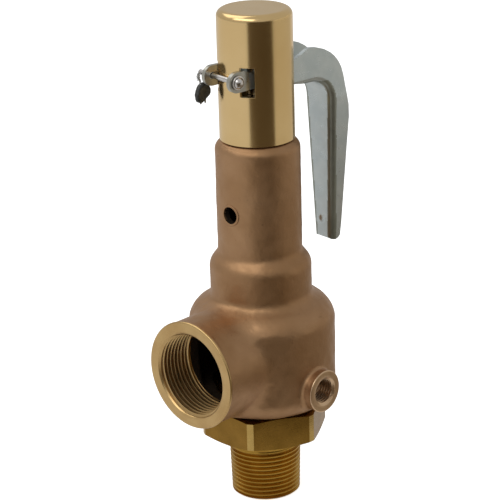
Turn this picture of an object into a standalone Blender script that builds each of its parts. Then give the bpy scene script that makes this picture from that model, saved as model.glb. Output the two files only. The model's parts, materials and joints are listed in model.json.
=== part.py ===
"""Bronze safety relief valve with a threaded inlet nozzle, a side outlet and a hand lifting lever.

Units in this file are millimetres, turned into metres by MM when a mesh is made.
Frame: +Z up along the valve axis, origin at the centre of the inlet's bottom end.
The outlet faces -Y and the drain boss faces +X. The cap and its lever are screwed on
CAP_YAW degrees past square: "u" runs from the valve axis to the lever's handle, and
"w" runs along the lever's pin.
"""
import math

import bmesh
import bpy
from mathutils import Matrix, Vector

MM = 0.001
GAP = 0.3  # clearance between neighbouring pieces

# Driving dimensions, heights measured up from the inlet's bottom end
SHANK_R, SHANK_TAPER = 16.3, 1 / 32  # 1 inch taper pipe thread, radius gained per mm of height
HEX_FLATS, HEX_CORNER_R = 54.0, 30.3
HEX_BOTTOM, HEX_TOP = 31.2, 46.8
BODY_BOTTOM, BODY_R, CAVITY_R = 47.2, 34.6, 30.3
DOME_Z, DOME_RING_R = 86.5, 20.3
FOOT_FILLET, NECK_EDGE = 9.5, 4.0
SOCKET_R, FLANGE_TOP = 24.0, 57.5  # the nozzle's flange inside the body
COLLAR_R, COLLAR_TOP = 24.05, 115.0
SHOULDER_RING_R, SHOULDER_R = 16.05, 8.0
NECK_R, NECK_TOP, CHAMBER_R = 20.05, 177.0, 16.3
CHAMBER_BOTTOM, CHAMBER_TOP = 96.5, 165.0
SPIGOT_R, SPIGOT_TOP, SPIGOT_BORE_R = 15.3, 185.0, 10.3
OUTLET_Z, OUTLET_FACE, OUTLET_R, OUTLET_BORE_R = 74.3, 49.5, 25.85, 19.45
OUTLET_MOUTH, DRAIN_MOUTH = 1.6, 1.1  # how much wider each threaded bore is at its face
DRAIN_Z, DRAIN_FACE, DRAIN_R, DRAIN_BORE_R = 60.65, 39.2, 10.1, 5.9
VENT_Z, VENT_R, VENT_FACETS = 144.2, 4.0, 18
LOCK_Z, LOCK_FACE, LOCK_BOSS_R, LOCK_SCREW_R = 67.5, 37.4, 6.5, 3.0
SEAT_TOP, SEAT_TUBE_R, BORE_R, THROAT_R = 72.0, 15.0, 12.4, 10.2
SPINDLE_R, SPINDLE_TOP = 4.0, 229.5
SPRING_BOTTOM, SPRING_TOP = 114.0, 159.0
SPRING_MEAN_R, SPRING_WIRE_R, SPRING_TURNS = 10.9, 1.9, 7.6
CAP_R, CAP_WALL, CAP_BOTTOM, CAP_TOP = 17.45, 1.6, 177.3, 238.0
CAP_YAW = 7.0
PIN_U, PIN_Z, PIN_R, PIN_LEFT_END = -18.9, 208.5, 1.3, -17.0
EAR_R, LEVER_HALF_WIDTH, SHEET = 4.8, 9.8, 2.0
HANDLE_TOP, HANDLE_END, HANDLE_END_HALF_WIDTH = 190.0, 118.5, 6.35
LIFT_WASHER_BOTTOM = 214.1
SEAL_W, SEAL_Z, SEAL_R, SEAL_HALF_HEIGHT, SEAL_HALF_THICKNESS = -15.45, 199.0, 4.25, 4.9, 1.5
WIRE_R = 0.4

# Facets round each kind of turned piece
CASTING_FACETS, PART_FACETS, SMALL_FACETS = 36, 24, 16


def clear_scene():
    for obj in list(bpy.data.objects):
        bpy.data.objects.remove(obj, do_unlink=True)


def collection(name):
    made = bpy.data.collections.new(name)
    bpy.context.scene.collection.children.link(made)
    return made


def material(name, colour, roughness, metallic):
    made = bpy.data.materials.new(name)
    made.use_nodes = True
    shader = made.node_tree.nodes["Principled BSDF"]
    shader.inputs["Base Color"].default_value = (*colour, 1.0)
    shader.inputs["Roughness"].default_value = roughness
    shader.inputs["Metallic"].default_value = metallic
    made.diffuse_color = (*colour, 1.0)
    return made


clear_scene()
PARTS = collection("pressure_relief_valve")
CUTTERS = collection("cutters")

CAST_BRONZE = material("cast_bronze", (0.36, 0.20, 0.11), 0.55, 0.9)
MACHINED_BRASS = material("machined_brass", (0.60, 0.42, 0.17), 0.32, 1.0)
CAP_BRASS = material("polished_brass", (0.68, 0.48, 0.22), 0.18, 1.0)
ZINC_STEEL = material("zinc_plated_steel", (0.42, 0.45, 0.46), 0.38, 1.0)
STEEL = material("bright_steel", (0.55, 0.55, 0.54), 0.28, 1.0)
SPRING_STEEL = material("spring_steel", (0.20, 0.20, 0.21), 0.40, 1.0)
LEAD = material("lead", (0.09, 0.09, 0.09), 0.50, 0.8)


# ---------------------------------------------------------------- shape helpers

def arc(centre_r, centre_z, radius, start, end, steps):
    """Points along an arc, its angles in degrees from the +r direction."""
    angles = [math.radians(start + (end - start) * i / steps) for i in range(steps + 1)]
    return [(centre_r + radius * math.cos(a), centre_z + radius * math.sin(a)) for a in angles]


def add_object(name, mesh, finish):
    obj = bpy.data.objects.new(name, mesh)
    if finish is None:
        obj.hide_render = True
        obj.display_type = "WIRE"
        CUTTERS.objects.link(obj)
    else:
        mesh.materials.append(finish)
        PARTS.objects.link(obj)
    return obj


def mesh_from(name, build):
    mesh = bpy.data.meshes.new(name)
    shape = bmesh.new()
    build(shape)
    bmesh.ops.scale(shape, vec=Vector((MM, MM, MM)), verts=shape.verts)
    shape.to_mesh(mesh)
    shape.free()
    return mesh


def turned(name, profile, facets, finish=None, ring=False):
    """A turned piece from (radius, height) points that run down its outer side.

    A ring's profile closes on itself; any other starts and ends on the axis.
    """
    def build(shape):
        points = [shape.verts.new((r, 0, z)) for r, z in profile]
        for a, b in zip(points, points[1:]):
            shape.edges.new((a, b))
        if ring:
            shape.edges.new((points[-1], points[0]))

    obj = add_object(name, mesh_from(name, build), finish)
    screw = obj.modifiers.new("turn", "SCREW")
    screw.steps = screw.render_steps = facets
    screw.use_merge_vertices = True
    screw.merge_threshold = 0.00001
    screw.use_smooth_shade = True
    return obj


def tube(name, inner, outer, bottom, top, facets, finish=None, chamfer=0.0):
    """A plain sleeve, with its outer edges chamfered."""
    profile = [
        (inner, top), (outer - chamfer, top), (outer, top - chamfer),
        (outer, bottom + chamfer), (outer - chamfer, bottom), (inner, bottom),
    ]
    if not chamfer:
        profile = [(inner, top), (outer, top), (outer, bottom), (inner, bottom)]
    return turned(name, profile, facets, finish, ring=True)


def rod(name, radius, bottom, top, facets, finish=None, chamfer=0.0):
    """A plain solid cylinder about Z, with its edges chamfered."""
    profile = [(0, top), (radius - chamfer, top), (radius, top - chamfer),
               (radius, bottom + chamfer), (radius - chamfer, bottom), (0, bottom)]
    if not chamfer:
        profile = [(0, top), (radius, top), (radius, bottom), (0, bottom)]
    return turned(name, profile, facets, finish)


def box(name, low, high, finish=None):
    size = [h - l for l, h in zip(low, high)]
    centre = Vector([(l + h) / 2 for l, h in zip(low, high)])

    def build(shape):
        bmesh.ops.create_cube(shape, size=1.0)
        bmesh.ops.scale(shape, vec=Vector(size), verts=shape.verts)
        bmesh.ops.translate(shape, vec=centre, verts=shape.verts)

    return add_object(name, mesh_from(name, build), finish)


def hexagon(name, flats, bottom, top, finish=None):
    """A hexagonal bar about Z with two of its corners on the X axis."""
    def build(shape):
        bmesh.ops.create_cone(
            shape, cap_ends=True, segments=6, depth=top - bottom,
            radius1=flats / math.sqrt(3), radius2=flats / math.sqrt(3),
        )
        turn = Matrix.Rotation(math.radians(30), 4, "Z")
        bmesh.ops.transform(shape, matrix=turn, verts=shape.verts)
        bmesh.ops.translate(shape, vec=Vector((0, 0, (top + bottom) / 2)), verts=shape.verts)

    return add_object(name, mesh_from(name, build), finish)


def outline(name, points, half_width, finish=None):
    """A plate cut to an outline of (x, z) points and extruded half_width each way along Y, as a mesh."""
    curve = bpy.data.curves.new(name, "CURVE")
    curve.dimensions = "2D"
    curve.fill_mode = "BOTH"
    curve.extrude = half_width * MM
    spline = curve.splines.new("POLY")
    spline.points.add(len(points) - 1)
    for point, (x, z) in zip(spline.points, points):
        point.co = (x * MM, z * MM, 0, 1)
    spline.use_cyclic_u = True
    return curve_to_mesh(name, curve, Matrix.Rotation(math.radians(90), 4, "X"), finish)


def wire(name, path, radius, finish=None, smoothness=2):
    """A round wire along a list of points, with its ends capped, as a mesh."""
    curve = bpy.data.curves.new(name, "CURVE")
    curve.dimensions = "3D"
    curve.bevel_depth = radius * MM
    curve.bevel_resolution = smoothness
    curve.use_fill_caps = True
    spline = curve.splines.new("POLY")
    spline.points.add(len(path) - 1)
    for point, place in zip(spline.points, path):
        point.co = (place[0] * MM, place[1] * MM, place[2] * MM, 1)
    return curve_to_mesh(name, curve, Matrix.Identity(4), finish)


def curve_to_mesh(name, curve, placing, finish):
    guide = bpy.data.objects.new(name + "_curve", curve)
    bpy.context.scene.collection.objects.link(guide)
    bpy.context.view_layer.update()
    evaluated = guide.evaluated_get(bpy.context.evaluated_depsgraph_get())
    mesh = bpy.data.meshes.new_from_object(evaluated)
    mesh.name = name
    bpy.data.objects.remove(guide, do_unlink=True)
    shape = bmesh.new()
    shape.from_mesh(mesh)
    bmesh.ops.remove_doubles(shape, verts=shape.verts, dist=0.01 * MM)
    bmesh.ops.transform(shape, matrix=placing, verts=shape.verts)
    bmesh.ops.recalc_face_normals(shape, faces=shape.faces)
    shape.to_mesh(mesh)
    shape.free()
    mesh.materials.clear()
    return add_object(name, mesh, finish)


def combine(target, other, operation):
    step = target.modifiers.new(operation.lower(), "BOOLEAN")
    step.operation = operation
    step.solver = "EXACT"
    step.object = other


def cut(target, *cutters):
    for cutter in cutters:
        combine(target, cutter, "DIFFERENCE")


def join(target, *others):
    for other in others:
        combine(target, other, "UNION")


def place(obj, x=0.0, y=0.0, z=0.0, turn=(0, 0, 0)):
    obj.location = (x * MM, y * MM, z * MM)
    obj.rotation_euler = [math.radians(angle) for angle in turn]
    return obj


TO_MINUS_Y, TO_PLUS_Y, TO_PLUS_X = (90, 0, 0), (-90, 0, 0), (0, 90, 0)  # local +Z turned to face that way


def hex_nut(name, flats, bore, bottom, top, finish):
    """A hexagon nut with both faces chamfered round."""
    nut = hexagon(name, flats, bottom, top, finish)
    corner, drop = flats / math.sqrt(3), 0.12 * flats / 2
    chamfer = turned(name + "_chamfer", [
        (0, top), (flats / 2 * 0.97, top), (corner * 1.01, top - drop),
        (corner * 1.01, bottom + drop), (flats / 2 * 0.97, bottom), (0, bottom),
    ], PART_FACETS)
    combine(nut, chamfer, "INTERSECT")
    cut(nut, rod(name + "_bore", bore, bottom - 1, top + 1, SMALL_FACETS))
    return nut


# ---------------------------------------------------------------- body and inlet

def make_valve_body():
    """One bronze casting: bulb, collar, neck, cap spigot, outlet, drain and lock-screw bosses."""
    dome_r = BODY_R - DOME_RING_R
    dome_end = math.degrees(math.acos((COLLAR_R - DOME_RING_R) / dome_r))
    shoulder_start = math.degrees(math.acos((NECK_R - SHOULDER_RING_R) / SHOULDER_R))
    body = turned("valve_body", [
        (0, SPIGOT_TOP),
        (SPIGOT_R, SPIGOT_TOP),
        (SPIGOT_R, NECK_TOP),
        *arc(NECK_R - NECK_EDGE, NECK_TOP - NECK_EDGE, NECK_EDGE, 90, 0, 3),
        *arc(SHOULDER_RING_R, COLLAR_TOP, SHOULDER_R, shoulder_start, 0, 3),
        *arc(DOME_RING_R, DOME_Z, dome_r, dome_end, 0, 5),
        *arc(BODY_R - FOOT_FILLET, BODY_BOTTOM + FOOT_FILLET, FOOT_FILLET, 0, -90, 4),
        (0, BODY_BOTTOM),
    ], CASTING_FACETS, CAST_BRONZE)

    boss_root = 20  # how far out from the valve axis the bosses start, inside the body's wall
    outlet = place(rod("outlet_boss", OUTLET_R, boss_root, OUTLET_FACE, CASTING_FACETS, chamfer=0.6),
                   z=OUTLET_Z, turn=TO_MINUS_Y)
    drain = place(rod("drain_boss", DRAIN_R, boss_root, DRAIN_FACE, PART_FACETS, chamfer=0.6),
                  z=DRAIN_Z, turn=TO_PLUS_X)
    lock = place(rod("lock_boss", LOCK_BOSS_R, boss_root, LOCK_FACE, SMALL_FACETS, chamfer=0.5),
                 z=LOCK_Z, turn=TO_PLUS_Y)
    join(body, outlet, drain, lock)

    ceiling_r = CHAMBER_BOTTOM - DOME_Z
    cavity_floor = FLANGE_TOP + 0.5
    cavity = turned("body_cavity", [
        (0, SPIGOT_TOP + 1),
        (SPIGOT_BORE_R + 1.5, SPIGOT_TOP + 1),
        (SPIGOT_BORE_R, SPIGOT_TOP - 0.5),
        (SPIGOT_BORE_R, CHAMBER_TOP),
        (CHAMBER_R, CHAMBER_TOP),
        (CHAMBER_R, CHAMBER_BOTTOM),
        *arc(DOME_RING_R, DOME_Z, ceiling_r, 90, 0, 3),
        (CAVITY_R, cavity_floor),
        (SOCKET_R + GAP, cavity_floor),
        (SOCKET_R + GAP, BODY_BOTTOM - 1),
        (0, BODY_BOTTOM - 1),
    ], CASTING_FACETS)
    bore_root = 22  # how far out from the valve axis the side bores start, inside the cavity
    outlet_bore = place(turned("outlet_bore", [
        (0, OUTLET_FACE + 1),
        (OUTLET_BORE_R + OUTLET_MOUTH + 1, OUTLET_FACE + 1),
        (OUTLET_BORE_R, OUTLET_FACE - OUTLET_MOUTH),
        (OUTLET_BORE_R - 0.6, bore_root),
        (0, bore_root),
    ], CASTING_FACETS), z=OUTLET_Z, turn=TO_MINUS_Y)
    drain_bore = place(turned("drain_bore", [
        (0, DRAIN_FACE + 1),
        (DRAIN_BORE_R + DRAIN_MOUTH + 1, DRAIN_FACE + 1),
        (DRAIN_BORE_R, DRAIN_FACE - DRAIN_MOUTH),
        (DRAIN_BORE_R, bore_root),
        (0, bore_root),
    ], SMALL_FACETS), z=DRAIN_Z, turn=TO_PLUS_X)
    vent = place(rod("vent_bore", VENT_R, CHAMBER_R - 6, NECK_R + 5, VENT_FACETS), z=VENT_Z, turn=TO_MINUS_Y)
    lock_bore = place(rod("lock_bore", LOCK_SCREW_R + GAP, bore_root, LOCK_FACE + 1, SMALL_FACETS),
                      z=LOCK_Z, turn=TO_PLUS_Y)
    cut(body, cavity, outlet_bore, drain_bore, vent, lock_bore)


def make_inlet_nozzle():
    """Nozzle with a pipe-thread shank, a wrench hexagon, a shank up into the body and the seat on top."""
    def shank_r(z):
        return SHANK_R + SHANK_TAPER * z

    seat_r, root_r, thread_end, end_chamfer = 12.5, 17.7, 27.0, 1.2
    nozzle = turned("inlet_nozzle", [
        (0, SEAT_TOP),
        (seat_r, SEAT_TOP),
        (SEAT_TUBE_R, SEAT_TOP - 1.2),
        (SEAT_TUBE_R, FLANGE_TOP),
        (SOCKET_R, FLANGE_TOP),
        (SOCKET_R, HEX_TOP - 0.2),
        (root_r, HEX_TOP - 0.2),
        (root_r, HEX_BOTTOM - 0.5),
        (shank_r(thread_end), HEX_BOTTOM - 1.5),
        (shank_r(thread_end), thread_end),
        (shank_r(end_chamfer), end_chamfer),
        (shank_r(0) - 0.8, 0),
        (0, 0),
    ], CASTING_FACETS, MACHINED_BRASS)
    hexagon_blank = hexagon("nozzle_hex", HEX_FLATS, HEX_BOTTOM, HEX_TOP)
    flat_r, drop = HEX_FLATS / 2, 1.8
    hexagon_turning = turned("nozzle_hex_turning", [
        (0, HEX_TOP),
        (flat_r - 0.3, HEX_TOP),
        (HEX_CORNER_R, HEX_TOP - drop),
        (HEX_CORNER_R, HEX_BOTTOM + drop),
        (flat_r - 0.3, HEX_BOTTOM),
        (0, HEX_BOTTOM),
    ], CASTING_FACETS)
    combine(hexagon_blank, hexagon_turning, "INTERSECT")
    join(nozzle, hexagon_blank)
    throat_start, funnel_start = 58.0, 46.0
    bore = turned("nozzle_bore", [
        (0, SEAT_TOP + 1),
        (THROAT_R + 0.6, SEAT_TOP + 1),
        (THROAT_R, SEAT_TOP - 0.6),
        (THROAT_R, throat_start),
        (BORE_R, funnel_start),
        (BORE_R, -1),
        (0, -1),
    ], PART_FACETS)
    cut(nozzle, bore)


def make_regulator_ring():
    """Blowdown ring screwed on the seat tube, notched all round for its lock screw."""
    bottom, top, outer = 63.0, 72.8, 19.5
    ring = turned("regulator_ring", [
        (SEAT_TUBE_R + GAP, top),
        (outer - 1.5, top),
        (outer, top - 1.5),
        (outer, bottom),
        (SEAT_TUBE_R + GAP, bottom),
    ], CASTING_FACETS, MACHINED_BRASS, ring=True)
    notches, notch_width, notch_depth = 12, 5.0, 1.9
    for i in range(notches):
        notch = box(f"ring_notch_{i}", (-notch_width / 2, outer - notch_depth, bottom - 1),
                    (notch_width / 2, outer + 2, top - 2.6))
        cut(ring, place(notch, turn=(0, 0, 360 * i / notches)))


def make_ring_lock():
    """Set screw from the back of the body whose nose sits in a notch of the regulator ring."""
    head_start, head_height, head_flats, washer_r = LOCK_FACE + 1.6, 4.2, 10.0, 6.0
    nose_r, nose_start, nose_end = 1.9, 23.0, 18.2
    screw = place(turned("ring_lock_screw", [
        (0, head_start + 1),
        (LOCK_SCREW_R, head_start + 1),
        (LOCK_SCREW_R, nose_start + 1),
        (nose_r, nose_start),
        (nose_r, nose_end + 0.4),
        (nose_r - 0.4, nose_end),
        (0, nose_end),
    ], SMALL_FACETS, STEEL), z=LOCK_Z, turn=TO_PLUS_Y)
    head = hexagon("lock_head", head_flats, head_start, head_start + head_height)
    join(screw, place(head, z=LOCK_Z, turn=TO_PLUS_Y))
    place(tube("ring_lock_washer", LOCK_SCREW_R + GAP, washer_r, LOCK_FACE + GAP, head_start - GAP,
               SMALL_FACETS, STEEL), z=LOCK_Z, turn=TO_PLUS_Y)


# ---------------------------------------------------------------- trim and spring

def make_disc():
    """Disc that closes the seat, with the stem that slides in the guide and a pocket for the spindle."""
    stem_r, stem_top, disc_r, disc_top, recess_r = 8.0, 100.0, 13.5, 79.0, 9.0
    disc = turned("valve_disc", [
        (0, stem_top), (stem_r - 0.6, stem_top), (stem_r, stem_top - 0.6),
        (stem_r, disc_top + 3), (stem_r + 1.5, disc_top + 0.6),
        (disc_r - 0.5, disc_top), (disc_r, disc_top - 0.5),
        (disc_r, SEAT_TOP + GAP), (recess_r, SEAT_TOP + GAP),
        (recess_r - 1, SEAT_TOP + 1.2), (0, SEAT_TOP + 1.2),
    ], PART_FACETS, STEEL)
    cut(disc, rod("disc_pocket", SPINDLE_R + GAP, disc_top + 2.6, stem_top + 1, SMALL_FACETS))
    tube("disc_clip", SPINDLE_R + GAP, stem_r - 1, stem_top + 0.4, stem_top + 1.5, SMALL_FACETS, STEEL)


def make_disc_guide():
    """Flanged bush under the spring chamber that keeps the disc's stem in line."""
    bore, outer, top = 8.3, CHAMBER_R - GAP, 106.0
    flange_r, flange_top, flange_bottom = 18.0, CHAMBER_BOTTOM - GAP, 92.2
    turned("disc_guide", [
        (bore, top), (outer - 0.8, top), (outer, top - 0.8), (outer, flange_top),
        (flange_r, flange_top), (flange_r, flange_bottom), (bore, flange_bottom),
    ], PART_FACETS, MACHINED_BRASS, ring=True)


def make_spindle():
    """Spindle from the disc, through the spring and the adjusting screw, up to the lifting nuts."""
    collar_r, collar_top, collar_bottom, point_r, point = 6.5, 110.0, 106.5, 0.8, 82.0
    turned("spindle", [
        (0, SPINDLE_TOP), (SPINDLE_R - 0.8, SPINDLE_TOP), (SPINDLE_R, SPINDLE_TOP - 0.8),
        (SPINDLE_R, collar_top), (collar_r - 0.5, collar_top), (collar_r, collar_top - 0.5),
        (collar_r, collar_bottom), (SPINDLE_R, collar_bottom),
        (SPINDLE_R, point + 2), (point_r, point), (0, point),
    ], SMALL_FACETS, STEEL)


def make_spring_washer(name, face, away, finish):
    """Stepped washer: a flange under the coil and a boss inside it. away is +1 if the boss points up."""
    flange_r, boss_r, flange, boss = 13.5, 7.9, 3.7, 3.0
    profile = [
        (SPINDLE_R + GAP, face + away * boss), (boss_r, face + away * boss), (boss_r, face),
        (flange_r, face), (flange_r, face - away * flange), (SPINDLE_R + GAP, face - away * flange),
    ]
    if away < 0:
        profile.reverse()
    turned(name, profile, PART_FACETS, finish, ring=True)


def make_spring():
    """Closed-end compression spring: dead coils at both ends and an even pitch between them."""
    points_per_turn, dead_turns = 12, 1.1
    dead_pitch = 2 * SPRING_WIRE_R + 0.25
    low = SPRING_BOTTOM + GAP + SPRING_WIRE_R
    high = SPRING_TOP - GAP - SPRING_WIRE_R
    live_turns = SPRING_TURNS - 2 * dead_turns
    live_pitch = (high - low - 2 * dead_turns * dead_pitch) / live_turns
    count = round(SPRING_TURNS * points_per_turn)
    path = []
    for i in range(count + 1):
        turns = SPRING_TURNS * i / count
        live = min(max(turns - dead_turns, 0), live_turns)
        height = low + dead_pitch * (turns - live) + live_pitch * live
        angle = 2 * math.pi * turns
        path.append((SPRING_MEAN_R * math.cos(angle), SPRING_MEAN_R * math.sin(angle), height))
    wire("main_spring", path, SPRING_WIRE_R, SPRING_STEEL)


def make_adjusting_screw():
    """Screw that sets the spring's load, with two wrench flats on top, and its lock nut."""
    bottom, top, radius, bore, nut_top = 163.3, 198.0, 9.9, 4.6, 191.3
    screw = turned("adjusting_screw", [
        (bore, top), (radius - 0.8, top), (radius, top - 0.8), (radius, bottom + 0.6),
        (radius - 0.6, bottom), (bore, bottom),
    ], PART_FACETS, MACHINED_BRASS, ring=True)
    flat, flat_bottom = 8.0, nut_top + 1
    for i, side in enumerate((-1, 1)):
        near, far = sorted((side * flat, side * (radius + 2)))
        cut(screw, box(f"adjusting_flat_{i}", (-12, near, flat_bottom), (12, far, top + 1)))
    hex_nut("adjusting_lock_nut", 26.0, radius + GAP, SPIGOT_TOP + GAP, nut_top, MACHINED_BRASS)


def make_lifting_nuts():
    """Washer that the lever's cams push up, with the nut and jam nut that hold it on the spindle."""
    washer_r, flats = 11.5, 13.0
    washer_top = LIFT_WASHER_BOTTOM + 2.0
    nut_top = washer_top + GAP + 6.0
    tube("lift_washer", SPINDLE_R + GAP, washer_r, LIFT_WASHER_BOTTOM, washer_top, PART_FACETS, STEEL, 0.3)
    hex_nut("lift_nut", flats, SPINDLE_R + GAP, washer_top + GAP, nut_top, STEEL)
    hex_nut("lift_jam_nut", flats, SPINDLE_R + GAP, nut_top + GAP, nut_top + GAP + 4.2, STEEL)


# ---------------------------------------------------------------- cap and lever

cap_frame = bpy.data.objects.new("cap_frame", None)
cap_frame.rotation_euler = (0, 0, math.radians(90 - CAP_YAW))  # local +X is u and local -Y is w
lever_frame = bpy.data.objects.new("lever_frame", None)
lever_frame.parent = cap_frame
lever_frame.location = (PIN_U * MM, 0, PIN_Z * MM)
seal_frame = bpy.data.objects.new("seal_frame", None)
seal_frame.parent = lever_frame
seal_frame.location = (0, -SEAL_W * MM, 0)
for empty in (cap_frame, lever_frame, seal_frame):
    PARTS.objects.link(empty)


def ride(obj, frame, base=None):
    """Hangs a piece modelled in the cap's frame on one of the frames, without moving it."""
    obj.parent = frame
    if frame is lever_frame:
        shift = Vector((PIN_U, 0, PIN_Z))
    elif frame is seal_frame:
        shift = Vector((PIN_U, -SEAL_W, PIN_Z))
    else:
        shift = Vector((0, 0, 0))
    obj.location = Vector(base or (0, 0, 0)) * MM - shift * MM
    return obj


def make_cap():
    """Drawn brass cap with two slots in front for the lever's ears and one window behind for its arm."""
    inner, edge, top_wall = CAP_R - CAP_WALL, 3.2, 2.0
    cap = turned("cap", [
        (0, CAP_TOP),
        *arc(CAP_R - edge, CAP_TOP - edge, edge, 90, 0, 4),
        (CAP_R, CAP_BOTTOM),
        (inner, CAP_BOTTOM),
        (inner, CAP_TOP - top_wall - 2),
        (inner - 2, CAP_TOP - top_wall),
        (0, CAP_TOP - top_wall),
    ], CASTING_FACETS, CAP_BRASS)
    ride(cap, cap_frame)
    slot_inner, slot_outer, slot_bottom, slot_top = 7.5, 13.05, 200.6, 214.2
    for i, side in enumerate((-1, 1)):
        near, far = sorted((side * slot_inner, side * slot_outer))
        cut(cap, ride(box(f"ear_slot_{i}", (-25, near, slot_bottom), (-2, far, slot_top)), cap_frame))
    window_half, window_bottom, window_top = 10.8, 199.9, 225.8
    window = box("arm_window", (6, -window_half, window_bottom), (25, window_half, window_top))
    cut(cap, ride(window, cap_frame))


# The lever's side view, as (u, z) points
ARM_BOTTOM, ARM_TOP, LEG_TOP, LEG_BOTTOM = 199.3, 216.5, 211.5, 204.2
WEB_START, WEB_FILLET, WEB_CORNER_U = 23.0, 10.5, 37.35
WEB_END_U, WEB_END_Z = 39.1, 119.6


def cam_bump():
    """The rise over the legs that the lift washer rests on, from the handle's side to the ears' side."""
    centre_z, radius = 210.8, 3.0
    spread = math.degrees(math.asin((LEG_TOP - centre_z) / radius))
    return arc(0, centre_z, radius, spread, 180 - spread, 6)


def lever_side():
    """The lever's whole outline, anticlockwise from the underside of the ears."""
    back = [(46.9, 190.5), (48.2, 185.0), (48.6, 179.0), (47.6, 165.0), (45.2, 127.0)]
    return [
        (PIN_U, PIN_Z - EAR_R),
        (9.0, LEG_BOTTOM),
        (14.0, ARM_BOTTOM + 2.0),
        (WEB_START, ARM_BOTTOM + 0.3),
        (WEB_CORNER_U - WEB_FILLET, ARM_BOTTOM),
        *arc(WEB_CORNER_U - WEB_FILLET, ARM_BOTTOM - WEB_FILLET, WEB_FILLET, 72, 0, 4),
        (WEB_END_U, WEB_END_Z),
        (WEB_END_U + 2.5, HANDLE_END),
        (43.2, 119.0),
        (44.6, 120.9),
        *reversed(back),
        (45.9, 195.0),
        (44.9, 199.8),
        (43.6, 204.0),
        (41.8, 207.2),
        (39.5, 210.0),
        (36.7, 212.3),
        (33.2, 214.3),
        (28.5, 215.9),
        (24.0, ARM_TOP),
        (18.0, 213.9),
        (13.0, 212.2),
        (10.5, LEG_TOP),
        *cam_bump(),
        (-11.0, LEG_TOP),
        (-14.8, PIN_Z + EAR_R - 0.1),
        *arc(PIN_U, PIN_Z, EAR_R, 90, 255, 9),
    ]


def lever_hollow():
    """The space between the two sides: all of it, less the web under the arm and down the handle."""
    centre = (WEB_CORNER_U - WEB_FILLET, ARM_BOTTOM - WEB_FILLET)
    return [
        (PIN_U - 10, 195.0),
        (WEB_START, 195.0),
        (WEB_START, ARM_BOTTOM + SHEET),
        *arc(*centre, WEB_FILLET + SHEET, 90, 0, 5),
        (WEB_END_U + SHEET + 0.2, HANDLE_END - 10),
        (60.0, HANDLE_END - 10),
        (60.0, 230.0),
        (PIN_U - 10, 230.0),
    ]


def narrow_handle(lever):
    """Draws the two sides together down the handle, keeping their thickness."""
    for vertex in lever.data.vertices:
        drop = HANDLE_TOP - vertex.co.z / MM
        if drop > 0:
            share = drop / (HANDLE_TOP - HANDLE_END)
            shift = share * (LEVER_HALF_WIDTH - HANDLE_END_HALF_WIDTH) * MM
            vertex.co.y -= math.copysign(shift, vertex.co.y)


def apply_modifiers(obj):
    bpy.context.view_layer.update()
    evaluated = obj.evaluated_get(bpy.context.evaluated_depsgraph_get())
    mesh = bpy.data.meshes.new_from_object(evaluated)
    obj.modifiers.clear()
    obj.data = mesh


def make_lever():
    """Pressed-steel channel: two ears on the pin, two legs under the lift washer, an arm and a handle."""
    lever = outline("lever", lever_side(), LEVER_HALF_WIDTH, ZINC_STEEL)
    hollow = outline("lever_hollow", lever_hollow(), LEVER_HALF_WIDTH - SHEET)
    cut(lever, hollow)
    apply_modifiers(lever)
    narrow_handle(lever)
    pin_hole = place(rod("pin_hole", PIN_R + GAP, -20, 20, SMALL_FACETS), x=PIN_U, z=PIN_Z, turn=TO_MINUS_Y)
    cut(lever, pin_hole)
    ride(lever, lever_frame)
    ride(pin_hole, lever_frame, (PIN_U, 0, PIN_Z))


def make_pin():
    """Clevis pin with a hollow head, a washer at each ear, and a cross hole for the seal's wire."""
    head_start = LEVER_HALF_WIDTH + 1.4
    pin = turned("lever_pin", [
        (0, head_start + 0.6),
        (0.9, head_start + 1.3),
        (1.6, head_start + 1.5),
        (2.3, head_start + 0.9),
        (2.4, head_start),
        (PIN_R, head_start),
        (PIN_R, PIN_LEFT_END + 0.3),
        (PIN_R - 0.3, PIN_LEFT_END),
        (0, PIN_LEFT_END),
    ], SMALL_FACETS, STEEL)
    place(pin, turn=TO_MINUS_Y)
    ride(pin, lever_frame, (PIN_U, 0, PIN_Z))
    cross_hole = rod("cross_hole", WIRE_R + GAP, -5, 5, 12)
    place(cross_hole, turn=TO_PLUS_X)
    ride(cross_hole, lever_frame, (PIN_U, -SEAL_W, PIN_Z))
    cut(pin, cross_hole)
    start = LEVER_HALF_WIDTH + GAP
    for name, near in (("pin_washer_right", start), ("pin_washer_left", -start - 0.8)):
        washer = tube(name, PIN_R + GAP, 3.4, near, near + 0.8, SMALL_FACETS, STEEL)
        place(washer, turn=TO_MINUS_Y)
        ride(washer, lever_frame, (PIN_U, 0, PIN_Z))


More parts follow.
